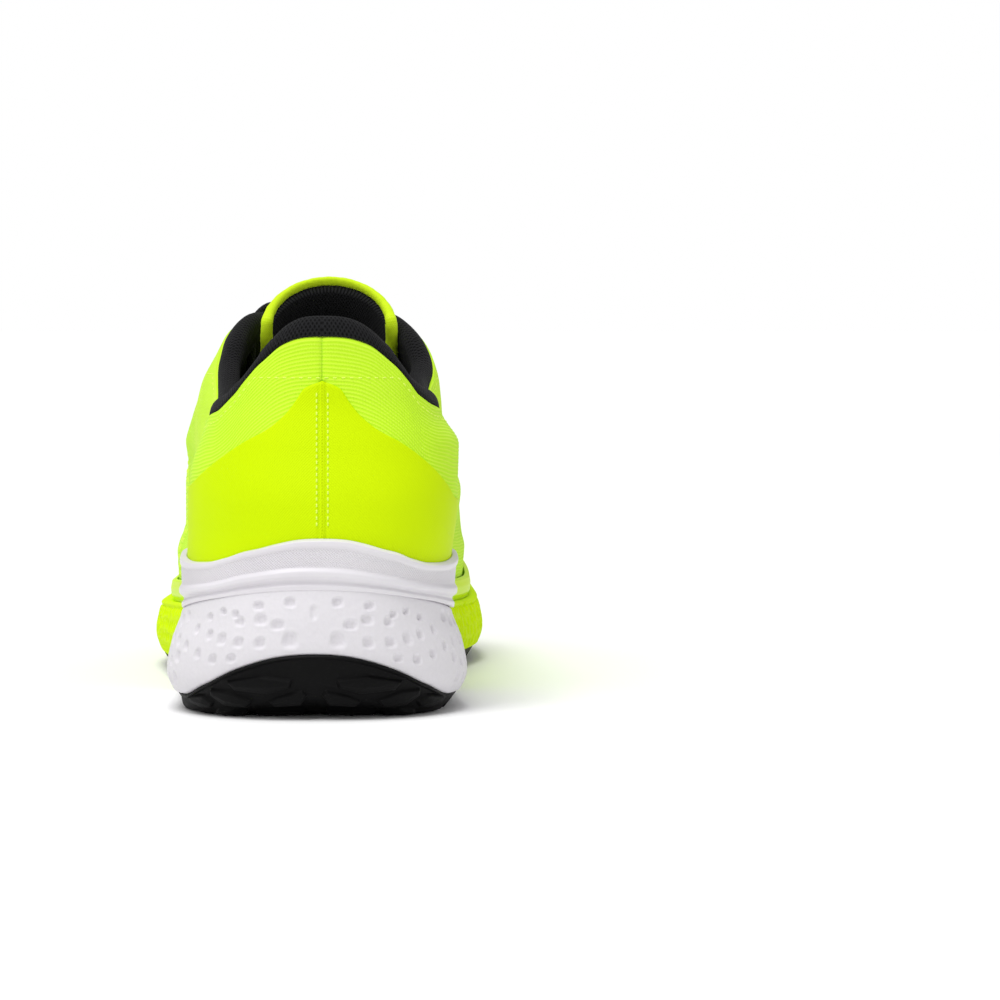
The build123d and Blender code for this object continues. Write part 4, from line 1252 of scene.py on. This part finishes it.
def stitches(name, sign, u, level, lift, length, gap, wide, high):
    """A sewn row over a line of the form: rounded dashes of thread that sink in at both ends."""
    signs = np.full_like(u, sign)
    outward = normals(on_form, signs, u, level)
    path = on_form(signs, u, level) + outward * lift
    arc = arc_lengths(path)
    count = int(arc[-1] / (length + gap))
    t = np.linspace(0, 1, 7)
    places = (np.arange(count) * (length + gap) + gap / 2)[:, None] + t * length
    at = lambda values: np.stack([np.interp(places, arc, values[:, k]) for k in range(3)], -1)
    middle, out = at(path), unit(at(outward))
    along = unit(np.gradient(middle, axis=1))
    side = unit(np.cross(out, along))
    round_off = np.sqrt(np.maximum(1 - (2 * t - 1) ** 4, 0.01))
    middle = middle + out * (high * (1 - (2 * t - 1) ** 2) - 0.06)[None, :, None]
    angle = np.linspace(0, 2 * math.pi, 8, endpoint=False)
    ring = (side[:, :, None] * np.cos(angle)[:, None] + out[:, :, None] * np.sin(angle)[:, None])
    grid = middle[:, :, None] + ring * (wide * round_off)[None, :, None, None]
    wall = quads(8, 7, close=True).reshape(-1, 4)
    wall = (wall % 7) * 8 + wall // 7
    base = np.arange(count) * 7 * 8
    faces = [list(f + b) for b in base for f in wall]
    faces += [[b + k for k in range(8)][::-1] for b in base] + [[b + 48 + k for k in range(8)] for b in base]
    flow = np.stack([np.repeat(places[:, :, None], 8, 2), np.broadcast_to(angle, (count, 7, 8)),
                     np.zeros((count, 7, 8))], -1)
    new_object(name, grid.reshape(-1, 3), faces, flow.reshape(-1, 3), slot="film_yellow", material=THREAD)


def at_aside(surface, sign, level, aside, most=0.25):
    """u of the points that lie that far aside of the centre line, near the heel."""
    level, aside = np.broadcast_arrays(np.asarray(level, float), np.asarray(aside, float))
    u = np.linspace(0, most, 500)
    grid = surface(np.full((level.size, 500), sign), np.broadcast_to(u, (level.size, 500)),
                   np.repeat(level.reshape(-1, 1), 500, 1))
    across = np.abs(grid[..., 0] - grid[:, :1, 0])
    found = np.array([np.interp(a, row, u) for a, row in zip(aside.ravel(), across)])
    return found.reshape(level.shape)


def make_stitches():
    def inner_line(point, sign):
        return np.minimum(topline(point, sign) - 3.6, 92.8)

    for sign, name in SIDES:
        level = np.linspace(52.5, 89.5, 200) / COLLAR_HEIGHT
        u = at_aside(on_form, sign, level, 1.5)
        stitches(f"heel_seam_stitch_{name}", sign, u, level, 0.68, *HEEL_STITCH)
        u, level = form_line(*side_columns(sign, 0.30 * LENGTH, 0.6, inner_line), inner_line)
        stitches(f"collar_stitch_{name}", sign, u, level, 0.0, *COLLAR_STITCH)
        for label, across in (("outer", 2 * EYELET_INSET - 1.5), ("inner", 1.6)):
            shares = np.linspace(0.395, 0.625, 200)
            u, level = over_plan(throat_edge(sign, shares) + sign * across, shares)
            stitches(f"eyestay_stitch_{label}_{name}", sign, u, level, EYESTAY_OUTSIDE, *STAY_STITCH)
        for row, share in enumerate((SEAM_SHARE - 0.006, SEAM_SHARE + 0.008)):
            stay = throat_edge(sign, share) + sign * 2 * EYELET_INSET
            level = np.linspace(0.27, form_level_at(np.array([stay]), np.array([share]))[0], 200)
            u = u_at(share * LENGTH - form_back(level), form_back(level), reach(level))
            stitches(f"seam_stitch_{row}_{name}", sign, u, level, 0.03, *SEAM_STITCH)


# Heel tread ------------------------------------------------------------------------------------

# Blocks of the heel's bevel, as seen from behind: (distance aside, height) corners, both sides alike
HEEL_BLOCKS = [
    [(5.8, 11.4), (14.5, 12.4), (23.8, 10.6), (21.6, 8.2), (12.3, 7.4), (6.6, 9.2)],
    [(1.8, 7.4), (3.2, 8.6), (9.6, 6.9), (12.6, 5.4), (11.0, 4.0), (3.8, 4.4)],
    [(16.6, 5.6), (23.3, 8.0), (28.4, 8.2), (28.4, 6.4), (24.5, 3.6), (18.4, 3.4)],
    [(27.6, 4.2), (30.2, 6.4), (34.6, 5.6), (34.4, 3.6), (31.0, 2.4), (28.2, 2.6)],
    [(3.0, 3.1), (11.5, 2.9), (16.6, 2.3), (16.0, 0.9), (3.0, 1.0)],
    [(18.4, 2.4), (26.4, 2.2), (27.6, 0.9), (18.8, 0.8)],
]


HEEL_TREAD_END, HEEL_TREAD_HALF = 0.09, 37.5


def block_height(aside, height):
    """How far the tread stands out at each point."""
    relief = np.zeros_like(aside)
    for corners in HEEL_BLOCKS:
        corners = np.array(corners)
        inside = np.full_like(aside, -1e3)
        turn = 0.0
        for a, b in zip(corners, np.roll(corners, -1, 0)):
            turn += a[0] * b[1] - b[0] * a[1]
        for a, b in zip(corners, np.roll(corners, -1, 0)):
            edge = b - a
            n = np.array([edge[1], -edge[0]]) / np.hypot(*edge) * np.sign(turn)
            inside = np.maximum(inside, (aside - a[0]) * n[0] + (height - a[1]) * n[1])
        slope = 0.35 * np.clip(-inside, 0, 2.2)
        relief = np.maximum(relief, step(-inside, -0.15, 0.45) * (0.9 + slope))
    return relief


def make_heel_tread():
    half, rows = 160, 96
    shares = np.linspace(0, HEEL_TREAD_END, 600)
    falling = ground(shares)
    tops = {}
    for sign in (LATERAL, MEDIAL):
        distance = np.linspace(0, 1, 800) ** 2 * 40.0
        signs = np.full(800, sign)
        line = on_sole(signs, *sole_line(signs, distance, bond_line))
        tops[sign] = (np.abs(line[:, 0] - SIDE_SHIFT), line[:, 2])
    aside = np.linspace(0, HEEL_TREAD_HALF, half)
    sides = []
    for sign in (LATERAL, MEDIAL):
        top = np.interp(aside, *tops[sign]) + 0.1
        z = 0.35 + (top - 0.35)[:, None] * np.linspace(0, 1, rows)
        wide = np.repeat(aside[:, None], rows, 1)
        level = z / STACK
        u = at_aside(on_sole, sign, level, wide, 0.45)
        wall = on_sole(np.full_like(u, sign), u, level)
        ramp = (np.interp(-z, -falling, shares) - 0.5) * LENGTH
        y = np.maximum(wall[..., 1], ramp)
        points = np.stack([SIDE_SHIFT + sign * wide, y, z], -1)
        below = top[:, None] - z
        relief = block_height(wide, z) + 0.85 * np.exp(-((below - 0.55) / 0.5) ** 2)
        relief = (0.12 + relief) * step(wide, HEEL_TREAD_HALF, HEEL_TREAD_HALF - 3) * step(z, 0.2, 1.2)
        sides.append((points, relief))
    points = np.concatenate([sides[0][0][::-1], sides[1][0][1:]])
    relief = np.concatenate([sides[0][1][::-1], sides[1][1][1:]])
    along = np.gradient(points, axis=0)
    up = np.gradient(points, axis=1)
    n = unit(np.cross(along, up))
    outer = points + n * (relief - 0.02)[..., None]
    outer[..., 2] = np.maximum(outer[..., 2], 0.05)
    flow = np.stack([points[..., 0], points[..., 2], 0 * relief], -1)
    shell("outsole_heel_tread", outer, points - n * 0.5, flow, slot="outsole_rubber", material=RUBBER)


# Camera, light and floor ----------------------------------------------------------------------

def make_stage():
    bpy.ops.mesh.primitive_plane_add(size=60, location=(0, 0, 0))
    floor = bpy.context.object
    floor.name = "floor"
    look = Look("floor_pale", 1.0, Specular_IOR_Level=0.0)
    look.colour(look.noise(3.0, 2.0), [(0.3, (252, 252, 252)), (0.7, (254, 254, 254))])
    floor.data.materials.append(look.mat)


CAMERA_DISTANCE, CAMERA_ASIDE, CAMERA_HEIGHT = 1.100, 0.051, 0.109
CAMERA_PITCH, TOE_OUT = 2.63, 1.4
FOCAL, SENSOR = 142.6, 36.0
AIM_AHEAD = 0.035
STUDIO_STRENGTH = 0.52
SUN_POWER, SUN_SPREAD, SUN_WAY = 1.75, 35, (0.20, 0.30, -1.0)
KEY_PLACE, KEY_AIM, KEY_SIZE, KEY_POWER = (-0.7, -1.1, 1.1), (0, 0, 0.05), 0.5, 3.5


def make_camera():
    data = bpy.data.cameras.new("camera")
    data.lens, data.sensor_width = FOCAL, SENSOR
    camera = bpy.data.objects.new("camera", data)
    turn = math.radians(TOE_OUT)
    pivot = Vector((SIDE_SHIFT / MM, CAD_LOW.y + AIM_AHEAD, 0))
    x = CAMERA_ASIDE * math.cos(turn) - CAMERA_DISTANCE * math.sin(turn)
    y = -CAMERA_ASIDE * math.sin(turn) - CAMERA_DISTANCE * math.cos(turn)
    camera.location = pivot + Vector((x, y, CAMERA_HEIGHT))
    camera.rotation_euler = (math.radians(90 - CAMERA_PITCH), 0, -turn)
    bpy.context.scene.collection.objects.link(camera)
    bpy.context.scene.camera = camera
    data.clip_start = 0.05


def make_light():
    world = bpy.data.worlds.new("studio")
    bpy.context.scene.world = world
    world.use_nodes = True
    tree = world.node_tree
    studio = tree.nodes["Background"]
    studio.inputs["Color"].default_value = (1, 1, 1, 1)
    studio.inputs["Strength"].default_value = STUDIO_STRENGTH
    backdrop = tree.nodes.new("ShaderNodeBackground")
    backdrop.inputs["Color"].default_value = (1, 1, 1, 1)
    seen = tree.nodes.new("ShaderNodeLightPath")
    mix = tree.nodes.new("ShaderNodeMixShader")
    tree.links.new(seen.outputs["Is Camera Ray"], mix.inputs[0])
    tree.links.new(studio.outputs[0], mix.inputs[1])
    tree.links.new(backdrop.outputs[0], mix.inputs[2])
    tree.links.new(mix.outputs[0], tree.nodes["World Output"].inputs["Surface"])
    sun = bpy.data.lights.new("overhead", "SUN")
    sun.energy, sun.angle = SUN_POWER, math.radians(SUN_SPREAD)
    place_light(sun, (0, 0, 0), Vector(SUN_WAY))
    key = bpy.data.lights.new("key", "AREA")
    key.shape, key.size, key.energy = "SQUARE", KEY_SIZE, KEY_POWER
    place_light(key, KEY_PLACE, Vector(KEY_AIM) - Vector(KEY_PLACE))
    bpy.context.scene.view_settings.view_transform = "Standard"


def place_light(data, place, way):
    lamp = bpy.data.objects.new(data.name, data)
    lamp.location = place
    lamp.rotation_euler = way.to_track_quat("-Z", "Y").to_euler()
    bpy.context.scene.collection.objects.link(lamp)


def dress_cad_nodes():
    """Materials for the CAD pieces that are shown as they are."""
    looks = {
        "outsole_rear": RUBBER, "outsole_front": RUBBER, "strobel_board": BOARD, "heel_counter": BOARD,
        "toe_puff": BOARD, "eyestay_lateral": FILM, "eyestay_medial": FILM, "toe_cap": FILM,
        "aglet_lateral": RUBBER, "aglet_medial": RUBBER,
    }
    for name, material in looks.items():
        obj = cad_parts[name]
        obj.data.materials.clear()
        obj.data.materials.append(material)


make_camera()
make_light()
make_stage()
dress_cad_nodes()
make_quarters()
make_vamp()
make_overlays()
make_clip()
make_rail()
make_midsole()
make_collar()
make_linings()
make_footbed()
make_tongue()
make_lace()
make_stitches()
make_heel_tread()
